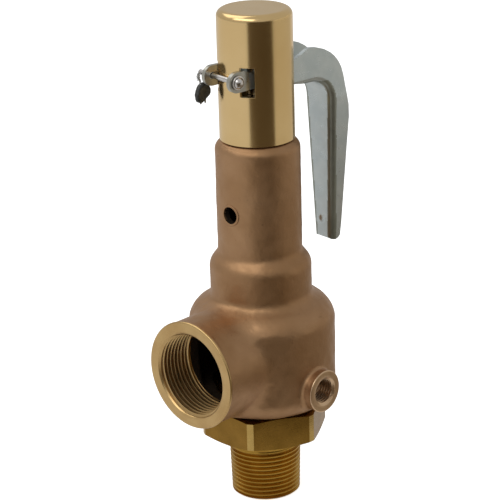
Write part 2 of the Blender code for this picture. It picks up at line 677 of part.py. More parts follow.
def make_seal():
    """Lead seal pressed on the two ends of a wire that is looped through the pin."""
    strand, reach = 1.3, 2.6
    seal_top = SEAL_Z + SEAL_HALF_HEIGHT
    side = [
        (strand, SEAL_Z - SEAL_HALF_HEIGHT - 0.7),
        (strand, seal_top + 0.4),
        (strand + 0.5, seal_top + 1.8),
        (reach, PIN_Z - 1.6),
        (reach - 0.25, PIN_Z - 0.5),
        (reach - 0.9, PIN_Z),
    ]
    path = [(PIN_U + x, -SEAL_W, z) for x, z in side]
    path += [(PIN_U - x, -SEAL_W, z) for x, z in reversed(side)]
    ride(wire("seal_wire", path, WIRE_R, STEEL), seal_frame)
    seal = turned("lead_seal", [
        (0, SEAL_HALF_THICKNESS),
        *arc(SEAL_R - 1.1, SEAL_HALF_THICKNESS - 1.1, 1.1, 90, 0, 3),
        *arc(SEAL_R - 1.1, 1.1 - SEAL_HALF_THICKNESS, 1.1, 0, -90, 3),
        (0, -SEAL_HALF_THICKNESS),
    ], SMALL_FACETS, LEAD)
    place(seal, turn=TO_MINUS_Y)
    seal.scale.y = SEAL_HALF_HEIGHT / SEAL_R  # taller than wide
    ride(seal, seal_frame, (PIN_U, -SEAL_W, SEAL_Z))
    for i, shift in enumerate((-strand, strand)):
        hole = rod(f"seal_hole_{i}", WIRE_R + GAP, -10, 10, 12)
        ride(hole, seal_frame, (PIN_U + shift, -SEAL_W, SEAL_Z))
        cut(seal, hole)


def shade_round():
    """Smooth shading on every piece, with its real edges kept sharp."""
    for obj in PARTS.objects:
        if obj.type == "MESH":
            obj.data.shade_smooth()
            obj.data.set_sharp_from_angle(angle=math.radians(35))


make_valve_body()
make_inlet_nozzle()
make_regulator_ring()
make_ring_lock()
make_disc()
make_disc_guide()
make_spindle()
make_spring_washer("lower_spring_washer", SPRING_BOTTOM, 1, STEEL)
make_spring()
make_spring_washer("upper_spring_washer", SPRING_TOP, -1, STEEL)
make_adjusting_screw()
make_lifting_nuts()
make_cap()
make_lever()
make_pin()
make_seal()
shade_round()
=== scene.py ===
"""Looks of a bronze safety relief valve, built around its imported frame.

Shapes are worked out in millimetres and turned into metres by MM when a mesh is made.
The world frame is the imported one: +Z up the valve axis, the outlet towards -Y and the
drain towards +X. The cap and its lever use their own frame: u runs out to the lever's
handle and w along the lever's pin.
"""
import json
import math

import bmesh
import bpy
import numpy as np
from mathutils import Matrix, Vector, noise


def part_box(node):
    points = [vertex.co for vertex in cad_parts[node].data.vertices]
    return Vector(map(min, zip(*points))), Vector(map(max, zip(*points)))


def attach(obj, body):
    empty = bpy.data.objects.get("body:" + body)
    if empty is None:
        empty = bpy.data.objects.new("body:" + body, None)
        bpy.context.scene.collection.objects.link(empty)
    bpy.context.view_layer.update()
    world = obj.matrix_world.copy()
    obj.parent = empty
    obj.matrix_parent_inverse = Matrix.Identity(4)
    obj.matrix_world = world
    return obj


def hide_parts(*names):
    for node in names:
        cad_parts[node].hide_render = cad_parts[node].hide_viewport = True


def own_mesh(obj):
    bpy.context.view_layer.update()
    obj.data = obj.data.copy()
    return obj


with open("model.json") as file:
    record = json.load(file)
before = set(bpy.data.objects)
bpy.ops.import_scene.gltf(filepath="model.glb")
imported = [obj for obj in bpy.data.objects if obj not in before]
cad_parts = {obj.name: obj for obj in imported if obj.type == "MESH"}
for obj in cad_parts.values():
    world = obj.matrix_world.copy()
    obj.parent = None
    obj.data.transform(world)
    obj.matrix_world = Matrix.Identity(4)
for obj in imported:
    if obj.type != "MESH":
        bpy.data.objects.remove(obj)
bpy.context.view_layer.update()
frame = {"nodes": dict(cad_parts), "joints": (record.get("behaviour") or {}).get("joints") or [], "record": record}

MM = 0.001


def box_mm(node):
    """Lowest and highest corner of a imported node, in millimetres."""
    low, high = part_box(node)
    return low / MM, high / MM


JOINTS = {joint["name"]: joint for joint in frame["joints"]}
MOUNTS = {mount["name"]: mount for mount in frame["record"]["mounts"]}

# ---- sizes taken from the frame

BODY_LOW, BODY_HIGH = box_mm("valve_body")
BODY_R, BODY_BOTTOM, SPIGOT_TOP = -BODY_LOW.x, BODY_LOW.z, BODY_HIGH.z
OUTLET_FACE, DRAIN_FACE, LOCK_FACE = -BODY_LOW.y, BODY_HIGH.x, BODY_HIGH.y
OUTLET_Z = MOUNTS["outlet_face"]["pos_m"][2] / MM
DRAIN_Z = MOUNTS["drain_face"]["pos_m"][2] / MM
SCREW_LOW, SCREW_HIGH = box_mm("ring_lock_screw")
LOCK_Z = (SCREW_LOW.z + SCREW_HIGH.z) / 2
NOZZLE_HIGH = box_mm("inlet_nozzle")[1]
HEX_CORNER_R, HEX_FLATS, SEAT_TOP = NOZZLE_HIGH.x, 2 * NOZZLE_HIGH.y, NOZZLE_HIGH.z
CAP_LOW, CAP_HIGH = box_mm("cap")
CAP_R, CAP_BOTTOM, CAP_TOP = CAP_HIGH.x, CAP_LOW.z, CAP_HIGH.z
HANDLE_END = box_mm("lever")[0].z
SPRING_LOW, SPRING_HIGH = box_mm("main_spring")

# The cap's frame: local +X is u, local -Y is w
PIN_AXIS = Vector(JOINTS["lever_pivot"]["axis"])
LEVER_OUT = Vector((0, 0, 1)).cross(PIN_AXIS)
CAP_TURN = Matrix((LEVER_OUT, -PIN_AXIS, Vector((0, 0, 1)))).transposed()
PIN_POINT = Vector(JOINTS["lever_pivot"]["pos_m"]) / MM
PIN_U, PIN_Z = PIN_POINT.dot(LEVER_OUT), PIN_POINT.z
SEAL_POINT = Vector(JOINTS["seal_swing"]["pos_m"]) / MM
SEAL_W = SEAL_POINT.dot(PIN_AXIS)

# ---- sizes of the casting, nozzle, lever and seal

DOME_R, DOME_TOP, FOOT_R = 12.0, 99.8, 9.5
COLLAR_R, COLLAR_TOP, SHOULDER_R = 24.05, 123.0, 8.0
NECK_R, NECK_TOP, NECK_EDGE = 19.95, 177.0, 4.8
SPIGOT_R = 15.3
OUTLET_R, DRAIN_R, LOCK_BOSS_R = 25.85, 10.1, 6.5
CAVITY_R, CAVITY_BOTTOM, CAVITY_TOP, CEILING_R = 30.3, 58.0, 96.5, 10.0
CHAMBER_R, CHAMBER_TOP, SPIGOT_BORE_R = 16.3, 165.0, 10.3
NOZZLE_SOCKET_R = 24.3
VENT_Z, VENT_R = 144.2, 4.2
PASSAGE_R, OUTLET_THREAD, OUTLET_SLEEVE_R = 19.2, 19.5, 21.6
OUTLET_TURNED, DRAIN_TURNED = 0.95, 0.5  # depth of each port's machined end
RIDGE_Z = 90.0  # the uneven ridge on the bulb's shoulder
CASTING_CELL = 0.8

# Pipe threads: pitch and depth by the taper pipe standard
PIPE_PITCH, PIPE_DEPTH, PIPE_TAPER = 25.4 / 11.5, 1.6, 1 / 32
SMALL_PITCH, SMALL_DEPTH = 25.4 / 18, 1.0
SHANK_R, SHANK_THREAD_END = 16.3, 26.6

# Inlet nozzle
HEX_BOTTOM, HEX_TOP, HEX_DROP, HEX_TOP_DROP = 31.2, 46.8, 1.2, 0.8
BORE_R, THROAT_R, SEAT_TUBE_R, ROOT_R = 12.4, 10.2, 15.0, 17.8

# Lever and pin, in the cap's frame
PIN_LEFT_END = -17.0
EAR_R, LEVER_HALF_WIDTH, SHEET = 4.8, 9.8, 2.0
HANDLE_TOP, HANDLE_END_HALF_WIDTH = 190.0, 6.35
ARM_BOTTOM, ARM_TOP, LEG_TOP, LEG_BOTTOM = 199.3, 216.5, 211.5, 204.2
WEB_START, WEB_FILLET, WEB_CORNER_U = 23.0, 10.5, 37.35
WEB_END_U, WEB_END_Z = 39.1, 119.6
BEND_R = 3.0
EARS_REFLECTION_U = -12.0  # the ears are painted a darker, warmer grey on this side of it: painted brass reflection and shade beside the cap
DIMPLE_U, DIMPLE_Z, DIMPLE_R = 35.6, 128.2, 3.8
LEVER_CELL = 0.5

# Lead seal
SEAL_Z, SEAL_R, SEAL_HALF_HEIGHT, SEAL_HALF = 199.0, 4.25, 4.9, 1.5


# ---- mesh tools

def linked(name, data):
    """A new object in the scene."""
    made = bpy.data.objects.new(name, data)
    bpy.context.scene.collection.objects.link(made)
    return made


def piece(name, points, faces, body, finish, turn=None, sharp=35.0, weld=0.0):
    """Makes a smooth-shaded object from points in millimetres and lets it ride on a body."""
    mesh = bpy.data.meshes.new(name)
    placed = np.asarray(points, float) * MM
    if turn is not None:
        placed = placed @ np.array(turn).T
    mesh.from_pydata(placed.tolist(), [], faces if isinstance(faces, list) else faces.tolist())
    shape = bmesh.new()
    shape.from_mesh(mesh)
    if weld:
        bmesh.ops.remove_doubles(shape, verts=shape.verts, dist=weld * MM)
        bmesh.ops.recalc_face_normals(shape, faces=shape.faces)
    shape.to_mesh(mesh)
    shape.free()
    mesh.shade_smooth()
    mesh.set_sharp_from_angle(angle=math.radians(sharp))
    mesh.materials.append(finish)
    obj = linked(name, mesh)
    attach(obj, body)
    return obj


def lathe(profile_at, columns):
    """Points and quads of a closed ring profile swept once round Z. profile_at(angle) gives its (r, z)."""
    rings = [profile_at(2 * math.pi * i / columns) for i in range(columns + 1)]
    count = len(rings[0])
    points = []
    for i, ring in enumerate(rings):
        angle = 2 * math.pi * i / columns
        points += [(r * math.cos(angle), r * math.sin(angle), z) for r, z in ring]
    faces = []
    for i in range(columns):
        for j in range(count):
            k = (j + 1) % count
            faces.append((i * count + j, (i + 1) * count + j, (i + 1) * count + k, i * count + k))
    return points, faces


def arc(centre_r, centre_z, radius, start, end, steps):
    """Points along an arc, its angles in degrees from the +r direction."""
    angles = [math.radians(start + (end - start) * i / steps) for i in range(steps + 1)]
    return [(centre_r + radius * math.cos(a), centre_z + radius * math.sin(a)) for a in angles]


def rounded(profile, radius):
    """A closed (r, z) profile with each of its corners rounded."""
    steps = 3
    out = []
    for i, corner in enumerate(profile):
        here = Vector(corner)
        before, after = Vector(profile[i - 1]) - here, Vector(profile[(i + 1) % len(profile)]) - here
        reach = min(radius, before.length * 0.45, after.length * 0.45)
        start, end = here + before.normalized() * reach, here + after.normalized() * reach
        for j in range(steps + 1):
            t = j / steps
            out.append(tuple((1 - t) ** 2 * start + 2 * t * (1 - t) * here + t * t * end))
    return out


def thread_rows(radius_at, start, end, pitch, depth, angle, fade_start, fade_end):
    """(r, z) down one side of a helical thread at this angle; depth is negative for an outside thread.

    The thread runs from start to end along its axis and fades in and out over the given lengths.
    """
    turns = math.ceil((end - start) / pitch) + 2
    flank = [(0.0, 0.0), (0.12, 0.0), (0.28, 0.5), (0.44, 0.95)]
    shape = flank + [(0.5, 1.0)] + [(1 - t, share) for t, share in reversed(flank[1:])]
    rows = []
    for turn in range(-1, turns):
        for t, share in shape:
            z = start + pitch * (turn + t + angle / (2 * math.pi))
            z = min(max(z, start), end)
            fade = min(1.0, (z - start) / fade_start, (end - z) / fade_end)
            rows.append((radius_at(z) + depth * share * max(fade, 0.0), z))
    return rows


# Turns that lay a piece made about +Z along another axis
TO_MINUS_Y = np.array([(1, 0, 0), (0, 0, -1), (0, 1, 0)], float)
TO_PLUS_Y = np.array([(-1, 0, 0), (0, 0, 1), (0, 1, 0)], float)
TO_PLUS_X = np.array([(0, 0, 1), (1, 0, 0), (0, 1, 0)], float)


def laid(turn, x, z):
    """The function that turns a piece's points and moves its axis to (x, z)."""
    return lambda points: np.asarray(points, float) @ turn.T + (x, 0.0, z)


# ---- distance fields and their surface

def bar_field(r, z, radius, bottom, top, foot=0.0, crown=0.0):
    """Distance to a solid of revolution: a bar whose lower edge has radius foot and upper edge crown."""
    middle = (bottom + top) / 2
    corner = np.where(z > middle, crown, foot)
    a = r - radius + corner
    b = np.abs(z - middle) - (top - bottom) / 2 + corner
    return np.minimum(np.maximum(a, b), 0) + np.hypot(np.maximum(a, 0), np.maximum(b, 0)) - corner


def soft_union(a, b, width):
    share = np.maximum(width - np.abs(a - b), 0) / width
    return np.minimum(a, b) - share * share * width / 4


def round_common(a, b, radius):
    """Common part of two solids, with the edge between them rounded."""
    past = np.hypot(np.maximum(a + radius, 0), np.maximum(b + radius, 0))
    return np.minimum(-radius, np.maximum(a, b)) + past


def polygon_field(x, y, corners):
    """Signed distance to a closed polygon."""
    best = np.full(x.shape, 1e9)
    inside = np.zeros(x.shape, bool)
    for (x0, y0), (x1, y1) in zip(corners, corners[1:] + corners[:1]):
        ex, ey = x1 - x0, y1 - y0
        dx, dy = x - x0, y - y0
        t = np.clip((dx * ex + dy * ey) / (ex * ex + ey * ey), 0, 1)
        best = np.minimum(best, (dx - ex * t) ** 2 + (dy - ey * t) ** 2)
        crossed = (y0 > y) != (y1 > y)
        if y1 != y0:
            inside ^= crossed & (x < x0 + ex * (y - y0) / ey)
    return np.where(inside, -1, 1) * np.sqrt(best)


TETRA = np.array([(1, -1, -1), (-1, -1, 1), (-1, 1, -1), (1, 1, 1)], float)


def gradient(field, points):
    """Unit vectors out of the surface, from the field's values at four corners round each point."""
    step = 0.02
    total = sum(corner * field(points + corner * step)[:, None] for corner in TETRA)
    return total / np.maximum(np.linalg.norm(total, axis=1, keepdims=True), 1e-12)


def sampled(field, low, high, cell):
    """The field's values on a grid, worked out finely only in blocks that the surface may cross."""
    block = 8
    counts = [math.ceil((h - l) / cell / block) for l, h in zip(low, high)]
    middles = [l + cell * (np.arange(n) * block + (block - 1) / 2) for l, n in zip(low, counts)]
    centres = np.stack(np.meshgrid(*middles, indexing="ij"), -1)
    rough = field(centres.reshape(-1, 3)).reshape(counts)
    values = rough.repeat(block, 0).repeat(block, 1).repeat(block, 2)
    split = values.reshape(counts[0], block, counts[1], block, counts[2], block)
    blocks = split.transpose(0, 2, 4, 1, 3, 5)
    steps = cell * (np.arange(block) - (block - 1) / 2)
    offsets = np.stack(np.meshgrid(steps, steps, steps, indexing="ij"), -1).reshape(-1, 3)
    near = np.abs(rough) < 0.95 * block * cell
    points = (centres[near][:, None] + offsets).reshape(-1, 3)
    found = np.concatenate([field(part) for part in np.array_split(points, len(points) // 400000 + 1)])
    blocks[near] = found.reshape(-1, block, block, block)
    return values


def crossings(field, values, low, cell):
    """Where the grid's edges cross the surface, and each crossing's four cells in its quad's order."""
    inside = values < 0
    places, cells = [], []
    shape = values.shape
    for axis in range(3):
        lower = inside.take(range(shape[axis] - 1), axis)
        upper = inside.take(range(1, shape[axis]), axis)
        index = np.argwhere(lower != upper)
        step = np.eye(3, dtype=int)[axis]
        start = low + cell * index
        f0 = values[tuple(index.T)]
        f1 = values[tuple((index + step).T)]
        t0, t1 = np.zeros(len(index)), np.ones(len(index))
        for _ in range(3):
            t = np.clip(t0 + (t1 - t0) * f0 / (f0 - f1), 0, 1)
            f = field(start + cell * t[:, None] * step)
            same = (f < 0) == (f0 < 0)
            t0, f0 = np.where(same, t, t0), np.where(same, f, f0)
            t1, f1 = np.where(same, t1, t), np.where(same, f1, f)
            same_ends = f0 == f1
            f1 = np.where(same_ends, f0 + 1e-9, f1)
        t = np.clip(t0 + (t1 - t0) * f0 / (f0 - f1), 0, 1)
        places.append(start + cell * t[:, None] * step)
        b, c = np.eye(3, dtype=int)[(axis + 1) % 3], np.eye(3, dtype=int)[(axis + 2) % 3]
        loop = np.stack([index - b - c, index - c, index, index - b], 1)
        flip = ~inside[tuple(index.T)]
        loop[flip] = loop[flip][:, ::-1]
        cells.append(loop)
    return np.concatenate(places), np.concatenate(cells)


def surface_of(field, low, high, cell):
    """Points and quads of a field's zero surface by dual contouring, which keeps its sharp edges sharp."""
    low = np.array(low, float)
    values = sampled(field, low, high, cell)
    places, cells = crossings(field, values, low, cell)
    normals = gradient(field, places)
    shape = np.array(values.shape)
    keys = (cells[..., 0] * shape[1] + cells[..., 1]) * shape[2] + cells[..., 2]
    unique, quads = np.unique(keys, return_inverse=True)
    quads = quads.reshape(-1, 4)
    count = len(unique)

    def gathered(weights):
        return sum(np.bincount(quads[:, i], weights, count) for i in range(4))

    share = gathered(np.ones(len(places)))
    mean = np.stack([gathered(places[:, i]) for i in range(3)], 1) / share[:, None]
    square = np.empty((count, 3, 3))
    for i in range(3):
        for j in range(i, 3):
            square[:, i, j] = square[:, j, i] = gathered(normals[:, i] * normals[:, j])
    level = (normals * places).sum(1)
    pull = np.stack([gathered(normals[:, i] * level) for i in range(3)], 1)
    pull -= np.einsum("nij,nj->ni", square, mean)
    size, direction = np.linalg.eigh(square)
    weak = size < 0.08 * size[:, -1:]
    inverse = np.where(weak, 0, 1 / np.where(weak, 1, size))
    shift = np.einsum("nij,nj->ni", direction, inverse * np.einsum("nji,nj->ni", direction, pull))
    corner = low + cell * np.stack(np.unravel_index(unique, tuple(shape)), 1)
    points = np.clip(mean + shift, corner, corner + cell)
    return points, quads


# ---- materials

def start_material(name, colour, metallic, roughness):
    made = bpy.data.materials.new(name)
    made.use_nodes = True
    tree = made.node_tree
    shader = tree.nodes["Principled BSDF"]
    shader.inputs["Base Color"].default_value = (*colour, 1.0)
    shader.inputs["Metallic"].default_value = metallic
    shader.inputs["Roughness"].default_value = roughness
    return made, tree, shader


def noise_value(tree, scale, detail, stretch=(1, 1, 1), distortion=0.0):
    """A noise's 0 to 1 value in the object's own metres."""
    where = tree.nodes.new("ShaderNodeTexCoord")
    mapping = tree.nodes.new("ShaderNodeMapping")
    mapping.inputs["Scale"].default_value = stretch
    made = tree.nodes.new("ShaderNodeTexNoise")
    made.inputs["Scale"].default_value = scale
    made.inputs["Detail"].default_value = detail
    made.inputs["Distortion"].default_value = distortion
    tree.links.new(where.outputs["Object"], mapping.inputs["Vector"])
    tree.links.new(mapping.outputs["Vector"], made.inputs["Vector"])
    return made.outputs["Fac"]


def ranged(tree, value, low, high, to_low, to_high):
    made = tree.nodes.new("ShaderNodeMapRange")
    made.inputs["From Min"].default_value = low
    made.inputs["From Max"].default_value = high
    made.inputs["To Min"].default_value = to_low
    made.inputs["To Max"].default_value = to_high
    tree.links.new(value, made.inputs["Value"])
    return made.outputs["Result"]


def mixed(tree, share, first, second):
    """A colour between two, each a colour or a socket."""
    made = tree.nodes.new("ShaderNodeMix")
    made.data_type = "RGBA"
    tree.links.new(share, made.inputs["Factor"])
    for socket, value in ((made.inputs[6], first), (made.inputs[7], second)):
        if isinstance(value, tuple):
            socket.default_value = (*value, 1.0)
        else:
            tree.links.new(value, socket)
    return made.outputs[2]


def bumped(tree, shader, value, strength, distance, under=None):
    made = tree.nodes.new("ShaderNodeBump")
    made.inputs["Strength"].default_value = strength
    made.inputs["Distance"].default_value = distance
    tree.links.new(value, made.inputs["Height"])
    if under is not None:
        tree.links.new(under, made.inputs["Normal"])
    tree.links.new(made.outputs["Normal"], shader.inputs["Normal"])
    return made.outputs["Normal"]


def cast_bronze():
    """Shot-blasted cast bronze: a soft brown gloss of slowly changing tone, with grain, pits and lumps."""
    made, tree, shader = start_material("cast_bronze", (0.42, 0.245, 0.12), 0.9, 0.45)
    patches = ranged(tree, noise_value(tree, 38, 3), 0.32, 0.68, 0.0, 1.0)
    tone = mixed(tree, patches, (0.38, 0.212, 0.098), (0.46, 0.272, 0.142))
    speck = ranged(tree, noise_value(tree, 260, 3), 0.26, 0.31, 0.30, 0.0)
    tone = mixed(tree, speck, tone, (0.18, 0.095, 0.045))
    tree.links.new(tone, shader.inputs["Base Color"])
    rough = ranged(tree, noise_value(tree, 190, 4), 0.3, 0.7, 0.39, 0.53)
    tree.links.new(rough, shader.inputs["Roughness"])
    grain = bumped(tree, shader, noise_value(tree, 900, 3), 0.24, 0.0001)
    pits = ranged(tree, noise_value(tree, 240, 5), 0.26, 0.40, 0.0, 1.0)
    pitted = bumped(tree, shader, pits, 0.20, 0.00016, grain)
    lumps = noise_value(tree, 330, 2)
    bumped(tree, shader, lumps, 0.45, 0.00028, pitted)
    return made


def turned_metal(name, colour, dark, roughness, axis="Z", centre=(0, 0, 0)):
    """Machined metal with fine turning marks about an axis."""
    made, tree, shader = start_material(name, colour, 1.0, roughness)
    where = tree.nodes.new("ShaderNodeTexCoord")
    shift = tree.nodes.new("ShaderNodeVectorMath")
    shift.operation = "SUBTRACT"
    shift.inputs[1].default_value = centre
    tree.links.new(where.outputs["Object"], shift.inputs[0])
    parts = tree.nodes.new("ShaderNodeSeparateXYZ")
    tree.links.new(shift.outputs[0], parts.inputs[0])
    length = tree.nodes.new("ShaderNodeVectorMath")
    length.operation = "LENGTH"
    flat = tree.nodes.new("ShaderNodeCombineXYZ")
    for letter in "XYZ".replace(axis, ""):
        tree.links.new(parts.outputs[letter], flat.inputs[letter])
    tree.links.new(flat.outputs[0], length.inputs[0])
    place = tree.nodes.new("ShaderNodeCombineXYZ")
    tree.links.new(length.outputs["Value"], place.inputs["X"])
    tree.links.new(parts.outputs[axis], place.inputs["Y"])
    marks = tree.nodes.new("ShaderNodeTexNoise")
    marks.inputs["Scale"].default_value = 2600
    marks.inputs["Detail"].default_value = 3
    tree.links.new(place.outputs[0], marks.inputs["Vector"])
    stains = ranged(tree, noise_value(tree, 90, 4), 0.35, 0.7, 0.0, 1.0)
    tone = mixed(tree, stains, colour, dark)
    tree.links.new(tone, shader.inputs["Base Color"])
    rough = ranged(tree, marks.outputs["Fac"], 0.3, 0.7, roughness * 0.8, roughness * 1.25)
    tree.links.new(rough, shader.inputs["Roughness"])
    bumped(tree, shader, marks.outputs["Fac"], 0.12, 0.00004)
    return made


def polished_brass():
    """Drawn and polished brass with a faint drawing grain and a few dull patches."""
    made, tree, shader = start_material("polished_brass", (0.80, 0.57, 0.27), 1.0, 0.22)
    patches = ranged(tree, noise_value(tree, 40, 3), 0.35, 0.7, 0.0, 1.0)
    tone = mixed(tree, patches, (0.82, 0.59, 0.285), (0.76, 0.53, 0.24))
    tree.links.new(tone, shader.inputs["Base Color"])
    smear = ranged(tree, noise_value(tree, 120, 5, (1, 1, 0.15)), 0.3, 0.75, 0.17, 0.25)
    tree.links.new(smear, shader.inputs["Roughness"])
    bumped(tree, shader, noise_value(tree, 500, 2, (1, 1, 0.1)), 0.05, 0.00003)
    return made


def plated_steel():
    """Zinc-plated pressed steel: light grey, satin, with a soft spangle and rolling marks."""
    made, tree, shader = start_material("zinc_plated_steel", (0.59, 0.63, 0.62), 0.85, 0.30)
    spangle = ranged(tree, noise_value(tree, 130, 4, distortion=0.4), 0.35, 0.65, 0.0, 1.0)
    tone = mixed(tree, spangle, (0.59, 0.635, 0.625), (0.53, 0.585, 0.585))
    tree.links.new(tone, shader.inputs["Base Color"])
    rough = ranged(tree, noise_value(tree, 300, 5), 0.3, 0.7, 0.26, 0.35)
    tree.links.new(rough, shader.inputs["Roughness"])
    bumped(tree, shader, noise_value(tree, 240, 5), 0.05, 0.00008)
    return made


def plain_metal(name, colour, dark, metallic, roughness, scale=400.0, bump=0.12):
    """A metal with mottled colour and roughness and a fine surface grain."""
    made, tree, shader = start_material(name, colour, metallic, roughness)
    patches = ranged(tree, noise_value(tree, scale * 0.4, 4), 0.35, 0.65, 0.0, 1.0)
    tree.links.new(mixed(tree, patches, colour, dark), shader.inputs["Base Color"])
    rough = ranged(tree, noise_value(tree, scale, 4), 0.3, 0.7, roughness * 0.8, roughness * 1.25)
    tree.links.new(rough, shader.inputs["Roughness"])
    bumped(tree, shader, noise_value(tree, scale * 2, 3), bump, 0.0001)
    return made


CAST = cast_bronze()
# Very dark finish for the casting's hollow insides: painted shade in the hollow, partly the casting's dark oxide.
INSIDE_SHADE_AND_OXIDE = plain_metal("inside_painted_shade_and_oxide", (0.05, 0.032, 0.02), (0.03, 0.02, 0.012), 0.6, 0.75)
NOZZLE_METAL = turned_metal("machined_bronze", (0.52, 0.30, 0.055), (0.42, 0.23, 0.038), 0.27)
# Darker bronze for the hexagon's flats: painted shade on the hexagon under the body.
HEXAGON_SHADED_BRONZE = turned_metal("hexagon_painted_shade", (0.34, 0.185, 0.035), (0.26, 0.14, 0.024), 0.30)
# Lighter bronze for the hexagon's turned corners: a painted highlight.
CORNER_HIGHLIGHT_BRONZE = turned_metal("corner_painted_highlight", (0.62, 0.42, 0.14), (0.52, 0.34, 0.10), 0.26)
OUTLET_METAL = turned_metal(
    "outlet_bronze", (0.66, 0.45, 0.20), (0.56, 0.36, 0.15), 0.30, axis="Y", centre=(0, 0, OUTLET_Z * MM))
DRAIN_METAL = turned_metal(
    "drain_bronze", (0.74, 0.53, 0.33), (0.64, 0.44, 0.27), 0.33, axis="X", centre=(0, 0, DRAIN_Z * MM))
INNER_BRASS = turned_metal("inner_brass", (0.62, 0.45, 0.19), (0.52, 0.36, 0.14), 0.3)
CAP_METAL = polished_brass()
ZINC = plated_steel()
# Darker, warmer zinc for the ears beside the cap: painted reflection of the brass cap and painted shade.
EAR_REFLECTION_ZINC = plain_metal("ears_painted_brass_reflection", (0.50, 0.49, 0.43), (0.42, 0.41, 0.36), 0.9, 0.32, 300, 0.06)
# Darker zinc on the handle's outer bend: a painted dark reflection in the rounded bend.
BEND_DARK_REFLECTION_ZINC = plain_metal("bend_painted_dark_reflection", (0.34, 0.36, 0.31), (0.27, 0.29, 0.25), 0.85, 0.34, 300, 0.08)
STEEL = plain_metal("bright_steel", (0.74, 0.71, 0.68), (0.64, 0.61, 0.58), 1.0, 0.22, 400, 0.04)
DISC_STEEL = turned_metal("disc_steel", (0.58, 0.57, 0.55), (0.5, 0.49, 0.47), 0.2)
SPRING_METAL = plain_metal("spring_steel", (0.16, 0.16, 0.17), (0.10, 0.10, 0.11), 1.0, 0.38)
WIRE_METAL = plain_metal("seal_wire_steel", (0.55, 0.55, 0.53), (0.38, 0.38, 0.37), 1.0, 0.32, 1500)
LEAD = plain_metal("lead", (0.075, 0.075, 0.068), (0.045, 0.045, 0.04), 0.6, 0.45, 700, 0.3)


# ---- valve body

def casting_outside(p):
    x, y, z = p[:, 0], p[:, 1], p[:, 2]
    r = np.hypot(x, y)
    body = bar_field(r, z, BODY_R, BODY_BOTTOM, DOME_TOP, FOOT_R, DOME_R)
    body = soft_union(body, bar_field(r, z, COLLAR_R, 65.0, COLLAR_TOP, 0.0, SHOULDER_R), 4.5)
    body = soft_union(body, bar_field(r, z, NECK_R, 65.0, NECK_TOP, 0.0, NECK_EDGE), 2.5)
    outlet = bar_field(
        np.hypot(x, z - OUTLET_Z), -y, OUTLET_R - 0.25, 5.0, OUTLET_FACE - OUTLET_TURNED, 0.0, 0.5)
    drain = bar_field(np.hypot(y, z - DRAIN_Z), x, DRAIN_R - 0.1, 15.0, DRAIN_FACE - DRAIN_TURNED, 0.0, 0.4)
    lock = bar_field(np.hypot(x, z - LOCK_Z), y, LOCK_BOSS_R, 15.0, LOCK_FACE, 0.0, 0.5)
    body = soft_union(body, outlet, 3.5)
    body = soft_union(body, drain, 1.6)
    body = soft_union(body, lock, 3.5)
    body = np.maximum(body, BODY_BOTTOM - z)
    return np.minimum(body, bar_field(r, z, SPIGOT_R, 150.0, SPIGOT_TOP, 0.0, 0.8))


def casting_inside(p):
    x, y, z = p[:, 0], p[:, 1], p[:, 2]
    r = np.hypot(x, y)
    hollow = bar_field(r, z, CAVITY_R, CAVITY_BOTTOM, CAVITY_TOP, 1.0, CEILING_R)
    hollow = np.minimum(hollow, bar_field(r, z, CHAMBER_R, 80.0, CHAMBER_TOP, 0.0, 1.0))
    hollow = np.minimum(hollow, bar_field(r, z, SPIGOT_BORE_R, 150.0, SPIGOT_TOP + 5, 0.0, 0.0))
    hollow = np.minimum(hollow, bar_field(r, z, NOZZLE_SOCKET_R, BODY_BOTTOM - 5, CAVITY_BOTTOM + 5))
    outlet_r, drain_r = np.hypot(x, z - OUTLET_Z), np.hypot(y, z - DRAIN_Z)
    hollow = soft_union(hollow, bar_field(outlet_r, -y, PASSAGE_R, 20.0, OUTLET_FACE + 5), 1.5)
    sleeve_back = OUTLET_FACE - OUTLET_THREAD - 0.1
    hollow = np.minimum(
        hollow, bar_field(outlet_r, -y, OUTLET_SLEEVE_R - 0.3, sleeve_back, OUTLET_FACE + 5))
    hollow = np.minimum(hollow, bar_field(drain_r, x, 5.3, 20.0, DRAIN_FACE + 5))
    hollow = np.minimum(hollow, bar_field(drain_r, x, 7.0, DRAIN_FACE - 9.6, DRAIN_FACE + 5))
    hollow = np.minimum(hollow, bar_field(np.hypot(x, z - VENT_Z), -y, VENT_R, 10.0, 30.0))
    return np.minimum(hollow, bar_field(np.hypot(x, z - LOCK_Z), y, 3.3, 20.0, LOCK_FACE + 5))


def casting(p):
    return np.maximum(casting_outside(p), -casting_inside(p))


def roughened(points):
    """Draws the as-cast skin in by an uneven fraction of a millimetre; machined faces stay true."""
    outside = np.abs(casting_outside(points)) < 0.06
    machined = (points[:, 2] > NECK_TOP - 1) | (points[:, 1] < 1.2 - OUTLET_FACE)
    machined |= (points[:, 0] > DRAIN_FACE - 0.8) | (points[:, 2] < BODY_BOTTOM + 0.1)
    chosen = np.flatnonzero(outside & ~machined)
    normals = gradient(casting_outside, points[chosen])
    depth = np.empty(len(chosen))
    for i, point in enumerate(points[chosen]):
        place = Vector(point)
        wave = noise.noise(place / 12.0)
        lump = noise.noise(place / 4.5 + Vector((7, 3, 1)))
        grain = noise.noise(place / 1.3)
        ridge = math.exp(-(((point[2] - RIDGE_Z) / 2.4 - wave) ** 2))
        depth[i] = 0.17 + 0.16 * wave + 0.10 * lump + 0.03 * grain - 0.26 * ridge * (0.6 + lump)
    moved = points.copy()
    moved[chosen] -= normals * depth[:, None]
    return moved


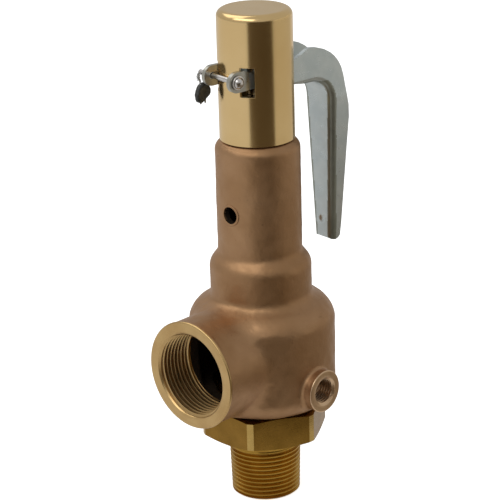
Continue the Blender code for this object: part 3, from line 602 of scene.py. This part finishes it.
def make_body():
    low = (-BODY_R - 2, -OUTLET_FACE - 2, BODY_BOTTOM - 2)
    high = (DRAIN_FACE + 2, LOCK_FACE + 2, SPIGOT_TOP + 2)
    points, quads = surface_of(casting, low, high, CASTING_CELL)
    body = piece("body_casting", roughened(points), quads, "casing", CAST)
    # The hollow's inside faces get the dark finish: painted shade, partly dark oxide.
    body.data.materials.append(INSIDE_SHADE_AND_OXIDE)
    middles = points[quads].mean(axis=1)
    within = (np.abs(casting_inside(middles)) < 0.5) & (casting_outside(middles) < -1.0)
    body.data.polygons.foreach_set("material_index", within.astype(np.int32))
    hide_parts("valve_body")


def make_port(name, placing, finish, face, outer, back, edge, sleeve, mouth,
              thread_r, pitch, depth, length):
    """The machined end of a threaded port: its face, chamfered mouth and helical female thread.

    The thread's radius is thread_r at the face, and the chamfer starts from radius mouth there.
    """
    def crest(z):
        return thread_r - (face - z) * PIPE_TAPER

    def profile(angle):
        outside = [(sleeve, face - length), (sleeve, face - back), (outer, face - back)]
        outside += arc(outer - edge, face - edge, edge, 0, 90, 5)
        rows = thread_rows(crest, face - length, face - 0.02, pitch, depth, angle, pitch * 1.2, 0.01)
        rows = [(max(r, mouth - (face - z)), z) for r, z in rows]
        return outside + [(mouth + 0.02, face)] + rows[::-1]

    points, faces = lathe(profile, 160)
    port = piece(name, placing(points), faces, "casing", finish, sharp=38, weld=0.004)
    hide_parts("valve_body")


def make_vent_rim():
    """The worn lip round the neck's vent hole."""
    columns, rows = 48, 6
    points = []
    for i in range(columns):
        angle = 2 * math.pi * i / columns
        for j in range(rows + 1):
            share = j / rows
            across = VENT_R - 0.1 + 0.9 * share
            x, z = across * math.cos(angle), across * math.sin(angle)
            lift = 0.16 * math.sin(math.pi * share) - 0.24
            points.append((x, -math.sqrt(NECK_R ** 2 - x * x) - lift, VENT_Z + z))
    count = rows + 1
    faces = []
    for i in range(columns):
        k = (i + 1) % columns
        for j in range(rows):
            faces.append((i * count + j, k * count + j, k * count + j + 1, i * count + j + 1))
    rim = piece("vent_rim", points, faces, "casing", CAST)
    thick = rim.modifiers.new("thickness", "SOLIDIFY")
    thick.thickness = 0.25 * MM
    thick.offset = -1
    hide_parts("valve_body")


# ---- inlet nozzle

def make_shank():
    """Nozzle from its threaded inlet end to its seat, in one turned piece but for the hexagon."""
    def crest(z):
        return SHANK_R + PIPE_TAPER * z

    def profile(angle):
        rows = thread_rows(
            crest, 0.9, SHANK_THREAD_END, PIPE_PITCH, -PIPE_DEPTH * 0.82, angle, 0.35, PIPE_PITCH * 1.6)
        inside = [
            (THROAT_R + 0.6, SEAT_TOP), (THROAT_R, SEAT_TOP - 0.6), (THROAT_R, 58), (BORE_R, 46),
            (BORE_R, 1.0), (BORE_R + 0.8, 0.0), (crest(0) - 1.1, 0.0), (crest(0) - 0.9, 0.15),
        ]
        outside = [
            (crest(27), 27.0), (crest(27), HEX_BOTTOM - 1.0), (ROOT_R, HEX_BOTTOM - 0.4), (ROOT_R, HEX_TOP),
            (24.0, HEX_TOP + 0.1), (24.0, 57.3), (23.8, 57.5), (SEAT_TUBE_R, 57.5),
            (SEAT_TUBE_R, SEAT_TOP - 1.2), (12.5, SEAT_TOP), (11.2, SEAT_TOP),
            (11.0, SEAT_TOP - 0.25), (10.8, SEAT_TOP),
        ]
        return rows + outside + inside

    points, faces = lathe(profile, 192)
    shank = piece(
        "inlet_shank", points, faces, "casing", NOZZLE_METAL, sharp=38, weld=0.004)
    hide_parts("inlet_nozzle")


def hexagon_blank(flats, bottom, top, corner_r, face_r, drops, bore, columns):
    """A hexagon with both faces turned round; drops are the corners' falls at the bottom and the top."""
    def profile(angle):
        side = (angle % (math.pi / 3)) - math.pi / 6  # from the nearest flat's middle, with corners on X
        reach = min(flats / 2 / math.cos(side), corner_r)
        spread = max(reach - face_r, 0.0)
        rise, fall = (drop * spread / (corner_r - face_r) for drop in drops)
        return [
            (bore, bottom), (face_r - 0.6, bottom), (face_r, bottom + 0.02), (reach, bottom + rise + 0.12),
            (reach, bottom + rise + 0.35), (reach, top - fall - 0.35), (reach, top - fall - 0.12),
            (face_r, top - 0.02), (face_r - 0.6, top), (bore, top),
        ]
    return lathe(profile, columns)


def make_hexagon():
    points, faces = hexagon_blank(
        HEX_FLATS, HEX_BOTTOM, HEX_TOP, HEX_CORNER_R, HEX_FLATS / 2 - 0.3,
        (HEX_DROP, HEX_TOP_DROP), ROOT_R - 0.1, 360)
    # The hexagon's flats take the darker bronze: painted shade.
    hexagon = piece(
        "inlet_hexagon", points, faces, "casing", HEXAGON_SHADED_BRONZE, sharp=12, weld=0.004)
    hexagon.data.materials.append(CORNER_HIGHLIGHT_BRONZE)
    for face in hexagon.data.polygons:
        if math.hypot(face.center.x, face.center.y) > (HEX_CORNER_R - 0.04) * MM:
            face.material_index = 1  # the turned corners, painted lighter as a highlight
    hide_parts("inlet_nozzle")


# ---- cap

def spaced(breaks, step):
    """Evenly filled positions that keep every break."""
    out = []
    for start, end in zip(breaks, breaks[1:]):
        count = max(1, math.ceil((end - start) / step - 1e-9))
        out += [start + (end - start) * i / count for i in range(count)]
    return out + [breaks[-1]]


def make_cap():
    """Drawn cap with two ear slots in front and the arm's window behind, as one skin with thickness."""
    slot_inner, slot_outer, slot_bottom, slot_top = 7.5, 13.05, 200.6, 214.2
    window_half, window_bottom, window_top = 10.8, 199.9, 225.8
    edge, wall = 3.2, 1.6
    near, far = (math.degrees(math.asin(w / CAP_R)) for w in (slot_inner, slot_outer))
    opening = math.degrees(math.asin(window_half / CAP_R))
    breaks = [-opening, opening, 180 - far, 180 - near, 180 + near, 180 + far, 360 - opening]
    angles = spaced(breaks, 2.5)[:-1]
    heights = spaced([CAP_BOTTOM, window_bottom, slot_bottom, slot_top, window_top, CAP_TOP - edge], 2.0)
    profile = [(CAP_R, z) for z in heights] + arc(CAP_R - edge, CAP_TOP - edge, edge, 0, 90, 10)[1:]
    profile += [(r, CAP_TOP) for r in (13.0, 9.0, 4.0)]
    points = []
    for angle in angles:
        turn = math.radians(angle)
        points += [(r * math.cos(turn), r * math.sin(turn), z) for r, z in profile]
    count = len(profile)
    faces = []
    for i in range(len(angles)):
        k = (i + 1) % len(angles)
        middle = (angles[i] + (angles[i + 1] if i + 1 < len(angles) else 360 - opening)) / 2
        for j in range(count - 1):
            z = (profile[j][1] + profile[j + 1][1]) / 2
            in_window = abs(middle) < opening and window_bottom < z < window_top
            in_slot = near < abs(middle - 180) < far and slot_bottom < z < slot_top
            if not (in_window or in_slot):
                faces.append((i * count + j, k * count + j, k * count + j + 1, i * count + j + 1))
    points.append((0, 0, CAP_TOP))
    for i in range(len(angles)):
        k = (i + 1) % len(angles)
        faces.append((i * count + count - 1, k * count + count - 1, len(points) - 1))
    cap = piece("cap_shell", points, faces, "casing", CAP_METAL, turn=CAP_TURN)
    thick = cap.modifiers.new("wall", "SOLIDIFY")
    thick.thickness = wall * MM
    thick.offset = -1
    soft = cap.modifiers.new("soft_edges", "BEVEL")
    soft.width = 0.09 * MM
    soft.segments = 2
    soft.limit_method = "ANGLE"
    soft.angle_limit = math.radians(50)
    soft.harden_normals = True
    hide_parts("cap")


# ---- lever

def cam_bump():
    """The rise over the legs that the lift washer rests on, from the handle's side to the ears' side."""
    centre_z, radius = 210.8, 3.0
    spread = math.degrees(math.asin((LEG_TOP - centre_z) / radius))
    return arc(0, centre_z, radius, spread, 180 - spread, 10)


def lever_side():
    """The lever's whole outline in (u, z), anticlockwise from the underside of the ears."""
    back = [(46.9, 190.5), (48.2, 185.0), (48.6, 179.0), (47.6, 165.0), (45.2, 127.0)]
    elbow = [
        (45.9, 195.0), (44.9, 199.8), (43.6, 204.0), (41.8, 207.2), (39.5, 210.0), (36.7, 212.3),
        (33.2, 214.3), (28.5, 215.9),
    ]
    return [
        (PIN_U, PIN_Z - EAR_R), (9.0, LEG_BOTTOM), (14.0, ARM_BOTTOM + 2.0),
        (WEB_START, ARM_BOTTOM + 0.3), (WEB_CORNER_U - WEB_FILLET, ARM_BOTTOM),
        *arc(WEB_CORNER_U - WEB_FILLET, ARM_BOTTOM - WEB_FILLET, WEB_FILLET, 80, 0, 12),
        (WEB_END_U, WEB_END_Z), (WEB_END_U + 0.8, HANDLE_END + 0.25), (WEB_END_U + 2.5, HANDLE_END),
        (43.2, 119.0), (44.2, 119.8), (44.6, 120.9),
        *reversed(back),
        *elbow,
        (24.0, ARM_TOP), (22.8, 216.1), (18.0, 213.9), (13.0, 212.2), (10.5, LEG_TOP),
        *cam_bump(),
        (-11.0, LEG_TOP), (-14.8, PIN_Z + EAR_R - 0.1),
        *arc(PIN_U, PIN_Z, EAR_R, 90, 255, 20),
    ]


SIDE = lever_side()


def web_field(u, z):
    """Distance past the web's outer face, under the arm and down the handle; positive outside the lever."""
    slope = math.atan2(WEB_END_U - WEB_CORNER_U, ARM_BOTTOM - WEB_FILLET - WEB_END_Z)
    across = (u - WEB_CORNER_U) * math.cos(slope) + (z - (ARM_BOTTOM - WEB_FILLET)) * math.sin(slope)
    a, b = across + WEB_FILLET, z - ARM_BOTTOM + WEB_FILLET
    return WEB_FILLET - np.minimum(np.maximum(a, b), 0) - np.hypot(np.maximum(a, 0), np.maximum(b, 0))


def half_width(z):
    """Half the lever's width, which narrows down the handle."""
    share = np.clip((HANDLE_TOP - z) / (HANDLE_TOP - HANDLE_END), 0, None)
    return LEVER_HALF_WIDTH - share * (LEVER_HALF_WIDTH - HANDLE_END_HALF_WIDTH)


def lever_field(p):
    u, w, z = p[:, 0], np.abs(p[:, 1]), p[:, 2]
    half = half_width(z)
    web = web_field(u, z)
    outer = np.maximum(round_common(web, w - half, BEND_R), polygon_field(u, z, SIDE))
    inner = round_common(web + SHEET, w - half + SHEET, BEND_R - SHEET)
    inner = np.minimum(inner, np.maximum(u - WEB_START, w - half + SHEET))
    hole = np.hypot(u - PIN_U, z - PIN_Z) - 1.6
    dimple = np.sqrt((u - DIMPLE_U) ** 2 + w ** 2 + (z - DIMPLE_Z) ** 2) - DIMPLE_R
    return np.maximum(np.maximum(outer, -inner), np.maximum(-hole, -dimple))


def make_lever():
    low = (PIN_U - EAR_R - 1.5, -LEVER_HALF_WIDTH - 1.5, HANDLE_END - 1.5)
    high = (50.5, LEVER_HALF_WIDTH + 1.5, ARM_TOP + 1.5)
    points, quads = surface_of(lever_field, low, high, LEVER_CELL)
    lever = piece("lever_channel", points, quads, "lever_group", ZINC, turn=CAP_TURN)
    lever.data.materials.append(BEND_DARK_REFLECTION_ZINC)
    lever.data.materials.append(EAR_REFLECTION_ZINC)
    u, w, z = points[quads].mean(axis=1).T
    # The handle's bend is painted darker as a dark reflection.
    in_bend = (web_field(u, z) > -BEND_R) & (np.abs(w) > half_width(z) - BEND_R)
    finish = np.where(in_bend & (z < ARM_BOTTOM), 1, 0)
    # The ears beside the cap take the warmer grey: painted brass reflection and shade.
    finish[u < EARS_REFLECTION_U] = 2
    lever.data.polygons.foreach_set("material_index", finish.astype(np.int32))
    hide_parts("lever")


# ---- pin, washers, seal

def make_turned(name, profile, body, finish, node, placing=None, turn=None, columns=48):
    """A plain turned ring with rounded corners that stands for one CAD node."""
    points, faces = lathe(lambda angle: profile, columns)
    if placing:
        points = placing(points)
    made = piece(name, points, faces, body, finish, turn=turn, weld=0.0005)
    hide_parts(node)
    return made


def make_pin():
    """Clevis pin: a domed head on the right and a rounded point on the left."""
    placing = laid(TO_MINUS_Y, PIN_U, PIN_Z)
    head = LEVER_HALF_WIDTH + 1.4
    pin = [
        (0.0, head + 1.6), *arc(0.0, head - 1.35, 2.95, 80, 28, 8), (2.65, head + 0.02), (1.3, head),
        (1.3, PIN_LEFT_END + 0.5),
        *arc(0.8, PIN_LEFT_END + 0.5, 0.5, 0, -90, 4), (0.0, PIN_LEFT_END),
    ]
    make_turned("clevis_pin", pin, "lever_group", STEEL, "lever_pin", placing, CAP_TURN)
    for side, name in ((1, "right"), (-1, "left")):
        near = side * (LEVER_HALF_WIDTH + 0.3)
        low, high = sorted((near, near + side * 0.8))
        ring = rounded([(1.6, low), (3.4, low), (3.4, high), (1.6, high)], 0.2)
        make_turned(f"ear_washer_{name}", ring, "lever_group", STEEL, f"pin_washer_{name}",
                    placing, CAP_TURN)


def wire_object(name, paths, radius, body, finish, turn):
    """Round wires along smooth paths in millimetres, as one curve."""
    curve = bpy.data.curves.new(name, "CURVE")
    curve.dimensions = "3D"
    curve.bevel_depth = radius * MM
    curve.bevel_resolution = 3
    curve.use_fill_caps = True
    curve.materials.append(finish)
    for path in paths:
        spline = curve.splines.new("POLY")
        spline.points.add(len(path) - 1)
        for point, place in zip(spline.points, path):
            point.co = (*(turn @ (Vector(place) * MM)), 1)
        spline.use_smooth = True
    made = linked(name, curve)
    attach(made, body)
    return made


def smooth_path(points, per_span):
    """A Catmull-Rom curve through the points."""
    places = [Vector(point) for point in points]
    places = [2 * places[0] - places[1], *places, 2 * places[-1] - places[-2]]
    out = []
    for a, b, c, d in zip(places, places[1:], places[2:], places[3:]):
        for i in range(per_span):
            t = i / per_span
            out.append(0.5 * (2 * b + (c - a) * t + (2 * a - 5 * b + 4 * c - d) * t * t
                              + (3 * b - a - 3 * c + d) * t ** 3))
    return out + [places[-2]]


def twisted(path, offset, lay):
    """Two strands wound round a path, each off its middle."""
    strands = [[], []]
    travelled = 0.0
    for i, place in enumerate(path):
        ahead = path[min(i + 1, len(path) - 1)] - path[max(i - 1, 0)]
        if i:
            travelled += (place - path[i - 1]).length
        side = ahead.cross(Vector((0, 1, 0.001))).normalized()
        up = ahead.cross(side).normalized()
        for strand, half_turn in zip(strands, (0, math.pi)):
            angle = 2 * math.pi * travelled / lay + half_turn
            strand.append(place + (side * math.cos(angle) + up * math.sin(angle)) * offset)
    return strands


def make_seal():
    """Sealing wire of two twisted strands, looped through the pin and pressed into a lead seal."""
    strand, reach = 1.3, 2.6
    top = SEAL_Z + SEAL_HALF_HEIGHT
    side = [
        (strand, SEAL_Z - SEAL_HALF_HEIGHT - 0.3), (strand, SEAL_Z), (strand, top + 0.4),
        (strand + 0.5, top + 1.8), (reach, PIN_Z - 1.6), (reach - 0.25, PIN_Z - 0.5), (reach - 0.9, PIN_Z),
    ]
    route = [(PIN_U + x, -SEAL_W, z) for x, z in side]
    route += [(PIN_U - x, -SEAL_W, z) for x, z in reversed(side)]
    strands = twisted(smooth_path(route, 14), 0.25, 1.9)
    knot_r, knot_top, knot_height, knot_turns, steps = 0.62, PIN_Z - 0.9, 2.6, 3, 72
    knot = []
    for i in range(steps + 1):
        share = i / steps
        angle = 2 * math.pi * knot_turns * share
        u, w = PIN_U - reach + 0.35 + knot_r * math.cos(angle), -SEAL_W - knot_r * math.sin(angle)
        knot.append((u, w, knot_top - knot_height * share))
    strands.append(knot)
    wire = wire_object("twisted_seal_wire", strands, 0.28, "seal_group", WIRE_METAL, CAP_TURN)
    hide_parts("seal_wire")
    face = SEAL_HALF
    profile = [(0.0, face - 0.3), (2.2, face - 0.3), (2.7, face - 0.05)]
    profile += arc(SEAL_R - 0.95, face - 0.95, 0.95, 90, 0, 6)
    profile += [(r, -z) for r, z in reversed(profile)]
    points, faces = lathe(lambda angle: profile, 64)
    pressed = []
    for x, y, z in points:
        dent = 0.10 * noise.noise(Vector((x, y, z)) / 1.6)
        x, y = x * (0.95 - dent), y * (0.98 - dent) * SEAL_HALF_HEIGHT / SEAL_R
        past = max(0.0, 0.62 * x - 0.78 * y - 3.0)  # one corner is nipped off by the sealing pliers
        pressed.append((x - 0.62 * past + 0.16 * y, y + 0.78 * past, z * (1 - abs(dent))))
    moved = laid(TO_MINUS_Y, PIN_U, SEAL_Z)(pressed)
    moved[:, 1] -= SEAL_W
    seal = piece("pressed_seal", moved, faces, "seal_group", LEAD, turn=CAP_TURN, weld=0.0005)
    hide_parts("lead_seal")


# ---- spring, lock screw and lifting nuts

def make_spring():
    """Closed-end spring on the CAD coil's path, round in section."""
    wire_r, mean_r, turns, dead = 1.9, 10.9, 7.6, 1.1
    clearance, around_wire = 0.1, 16
    low, high = SPRING_LOW.z + wire_r + clearance, SPRING_HIGH.z - wire_r - clearance
    dead_pitch = 2 * wire_r + 0.25
    live_turns = turns - 2 * dead
    live_pitch = (high - low - 2 * dead * dead_pitch) / live_turns
    count = round(turns * 40)
    points, faces = [], []
    for i in range(count + 1):
        turn = turns * i / count
        live = min(max(turn - dead, 0), live_turns)
        z = low + dead_pitch * (turn - live) + live_pitch * live
        angle = 2 * math.pi * turn
        for j in range(around_wire):
            side = 2 * math.pi * j / around_wire
            r = mean_r + wire_r * math.cos(side)
            points.append((r * math.cos(angle), r * math.sin(angle), z + wire_r * math.sin(side)))
    for i in range(count):
        for j in range(around_wire):
            k, near, far = (j + 1) % around_wire, i * around_wire, (i + 1) * around_wire
            faces.append((near + j, near + k, far + k, far + j))
    faces.append(tuple(range(around_wire))[::-1])
    faces.append(tuple(range(count * around_wire, (count + 1) * around_wire)))
    spring = piece("coil_spring", points, faces, "casing", SPRING_METAL)
    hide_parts("main_spring")
    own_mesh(spring)


def make_nut(name, flats, bore, bottom, top, body, finish, node, placing=None):
    corner = flats / math.sqrt(3)
    drop = 0.06 * flats
    points, faces = hexagon_blank(flats, bottom, top, corner * 0.985, flats * 0.48, (drop, drop), bore, 120)
    if placing:
        points = placing(points)
    nut = piece(name, points, faces, body, finish, sharp=14, weld=0.003)
    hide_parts(node)


def make_lifting_nuts():
    for name, node in (("lift_hex_nut", "lift_nut"), ("lift_thin_nut", "lift_jam_nut")):
        low, high = box_mm(node)
        make_nut(name, 13.0, 4.3, low.z, high.z, "spindle_group", STEEL, node)
    low, high = box_mm("adjusting_lock_nut")
    make_nut("adjuster_hex_nut", 26.0, 10.2, low.z, high.z, "casing", INNER_BRASS,
             "adjusting_lock_nut")
    low, high = box_mm("lift_washer")
    ring = rounded([(4.3, low.z), (11.5, low.z), (11.5, high.z), (4.3, high.z)], 0.3)
    make_turned("lift_disc_washer", ring, "spindle_group", STEEL, "lift_washer", columns=96)


def make_lock_screw():
    """Hexagon-headed set screw and washer on the back of the body."""
    placing = laid(TO_PLUS_Y, 0, LOCK_Z)
    head_low = SCREW_HIGH.y - 4.2
    make_nut("lock_screw_head", 10.0, 0.01, head_low, SCREW_HIGH.y, "casing", STEEL,
             "ring_lock_screw", placing)
    shaft_top = head_low + 0.5
    shaft = [(0, shaft_top), (2.95, shaft_top), (2.95, 24), (1.9, 23), (1.9, 18.6), (1.5, 18.2), (0, 18.2)]
    make_turned("lock_screw_shaft", shaft, "casing", STEEL, "ring_lock_screw", placing)
    low, high = box_mm("ring_lock_washer")
    ring = rounded([(3.3, low.y), (6.0, low.y), (6.0, high.y), (3.3, high.y)], 0.2)
    make_turned("lock_screw_washer", ring, "casing", STEEL, "ring_lock_washer", placing)


def dress_cad_nodes():
    """The CAD nodes that keep their own shape get their finish."""
    finishes = {
        "regulator_ring": INNER_BRASS, "disc_guide": INNER_BRASS, "adjusting_screw": INNER_BRASS,
        "valve_disc": DISC_STEEL, "spindle": STEEL, "disc_clip": STEEL,
        "lower_spring_washer": STEEL, "upper_spring_washer": STEEL,
    }
    for node, finish in finishes.items():
        mesh = frame["nodes"][node].data
        mesh.materials.clear()
        mesh.materials.append(finish)


# ---- stage

TARGET = Vector((0, 0, 0.11875))
CAMERA_AZIMUTH, CAMERA_ELEVATION, CAMERA_DISTANCE, CAMERA_ROLL = 43.2, 20.0, 1.041, -1.48
CARD_START, CARD_SPLIT, CARD_END, CARD_WALL = 0.11, 0.485, 1.6, 0.55


def aimed(azimuth, elevation, distance, roll=0.0):
    """Where a camera or light looks at the target from; azimuth 0 stands towards -Y and 90 towards +X."""
    a, e = math.radians(azimuth), math.radians(elevation)
    away = Vector((math.sin(a) * math.cos(e), -math.cos(a) * math.cos(e), math.sin(e)))
    aim = (-away).to_track_quat("-Z", "Y").to_matrix() @ Matrix.Rotation(math.radians(roll), 3, "Z")
    return Matrix.Translation(TARGET + away * distance) @ aim.to_4x4()


def make_camera():
    data = bpy.data.cameras.new("camera")
    data.lens = 160.0
    data.sensor_width = 36.0
    data.shift_x = -0.02086
    data.shift_y = 0.01261
    data.clip_start = 0.05
    data.clip_end = 50
    camera = linked("camera", data)
    camera.matrix_world = aimed(CAMERA_AZIMUTH, CAMERA_ELEVATION, CAMERA_DISTANCE, CAMERA_ROLL)
    bpy.context.scene.camera = camera


def area_light(name, azimuth, elevation, distance, size, power):
    """A soft light aimed at the object."""
    data = bpy.data.lights.new(name, "AREA")
    data.shape = "RECTANGLE"
    data.size, data.size_y = size
    data.energy = power
    linked(name, data).matrix_world = aimed(azimuth, elevation, distance)


def stage_sheet(name, points, faces, colour, glow, seen_by):
    """A plain sheet that belongs to the stage. seen_by lists the kinds of ray that see it."""
    mesh = bpy.data.meshes.new(name)
    mesh.from_pydata([Vector(point) for point in points], [], faces)
    made = bpy.data.materials.new(name)
    made.use_nodes = True
    shader = made.node_tree.nodes["Principled BSDF"]
    shader.inputs["Base Color"].default_value = (*colour, 1.0)
    shader.inputs["Roughness"].default_value = 0.9
    shader.inputs["Specular IOR Level"].default_value = 0.1
    shader.inputs["Emission Color"].default_value = (1, 1, 1, 1)
    shader.inputs["Emission Strength"].default_value = glow
    mesh.materials.append(made)
    obj = linked(name, mesh)
    for kind in ("camera", "diffuse", "glossy", "transmission", "volume_scatter", "shadow"):
        setattr(obj, "visible_" + kind, kind in seen_by)


def around(start, end, distance, height):
    """Points on an arc round the valve at one height, from one azimuth to another."""
    steps = 16
    angles = [math.radians(start + (end - start) * i / steps) for i in range(steps + 1)]
    return [(distance * math.sin(a), -distance * math.cos(a), height) for a in angles]


def make_card(name, start, end, colour, far=False):
    """A sheet on the floor between two azimuths, for reflections only. A far one ends in a low wall."""
    near, away = (CARD_SPLIT, CARD_END) if far else (CARD_START, CARD_SPLIT)
    rows = [around(start, end, near, 0.001), around(start, end, away, 0.001)]
    if far:
        rows.append(around(start, end, away, CARD_WALL))
    count = len(rows[0])
    faces = []
    for i in range(len(rows) - 1):
        for j in range(count - 1):
            k = i * count + j
            faces.append((k, k + 1, k + count + 1, k + count))
    stage_sheet(name, sum(rows, []), faces, colour, 0.0, ("glossy",))


def make_floor():
    """A white floor for the eye, and just under it the softer one that lights and reflects in the metal."""
    reach = 4.0
    square = [(-reach, -reach), (reach, -reach), (reach, reach), (-reach, reach)]
    for name, height, colour, glow, seen_by in (
        ("floor", 0.0, (0.9, 0.9, 0.9), 0.75, ("camera", "shadow")),
        ("floor_bounce", -0.0005, (0.8, 0.8, 0.8), 0.25, ("diffuse", "glossy", "transmission")),
    ):
        corners = [(x, y, height) for x, y in square]
        stage_sheet(name, corners, [(0, 1, 2, 3)], colour, glow, seen_by)


def make_world():
    world = bpy.data.worlds.new("studio")
    world.use_nodes = True
    background = world.node_tree.nodes["Background"]
    background.inputs["Color"].default_value = (1, 1, 1, 1)
    background.inputs["Strength"].default_value = 0.5
    bpy.context.scene.world = world


make_camera()
make_world()
make_floor()
make_card("soft_edge_near", 28.0, 38.0, (0.42, 0.36, 0.27))
make_card("dark_card_near", 38.0, 86.0, (0.135, 0.10, 0.06))
make_card("middle_card_near", 86.0, 140.0, (0.30, 0.24, 0.17))
make_card("side_card_near", 140.0, 178.0, (0.52, 0.47, 0.39))
make_card("dark_card", 22.0, 98.0, (0.105, 0.08, 0.05), far=True)
make_card("side_card", 98.0, 178.0, (0.86, 0.83, 0.76), far=True)
area_light("key", 5, 48, 1.3, (1.3, 0.6), 3.9)
area_light("fill", -80, 58, 1.3, (0.9, 0.9), 3.0)
bpy.context.scene.view_settings.view_transform = "Standard"

make_body()
make_port(
    "outlet_port", laid(TO_MINUS_Y, 0, OUTLET_Z), OUTLET_METAL, face=OUTLET_FACE, outer=OUTLET_R,
    back=OUTLET_TURNED, edge=0.8, sleeve=OUTLET_SLEEVE_R, mouth=20.8, thread_r=19.5,
    pitch=PIPE_PITCH, depth=PIPE_DEPTH, length=OUTLET_THREAD)
make_port(
    "drain_port", laid(TO_PLUS_X, 0, DRAIN_Z), DRAIN_METAL, face=DRAIN_FACE, outer=DRAIN_R,
    back=DRAIN_TURNED, edge=0.5, sleeve=7.2, mouth=6.9, thread_r=5.85,
    pitch=SMALL_PITCH, depth=SMALL_DEPTH, length=9.5)
make_vent_rim()
make_shank()
make_hexagon()
make_cap()
make_lever()
make_pin()
make_seal()
make_spring()
make_lifting_nuts()
make_lock_screw()
dress_cad_nodes()
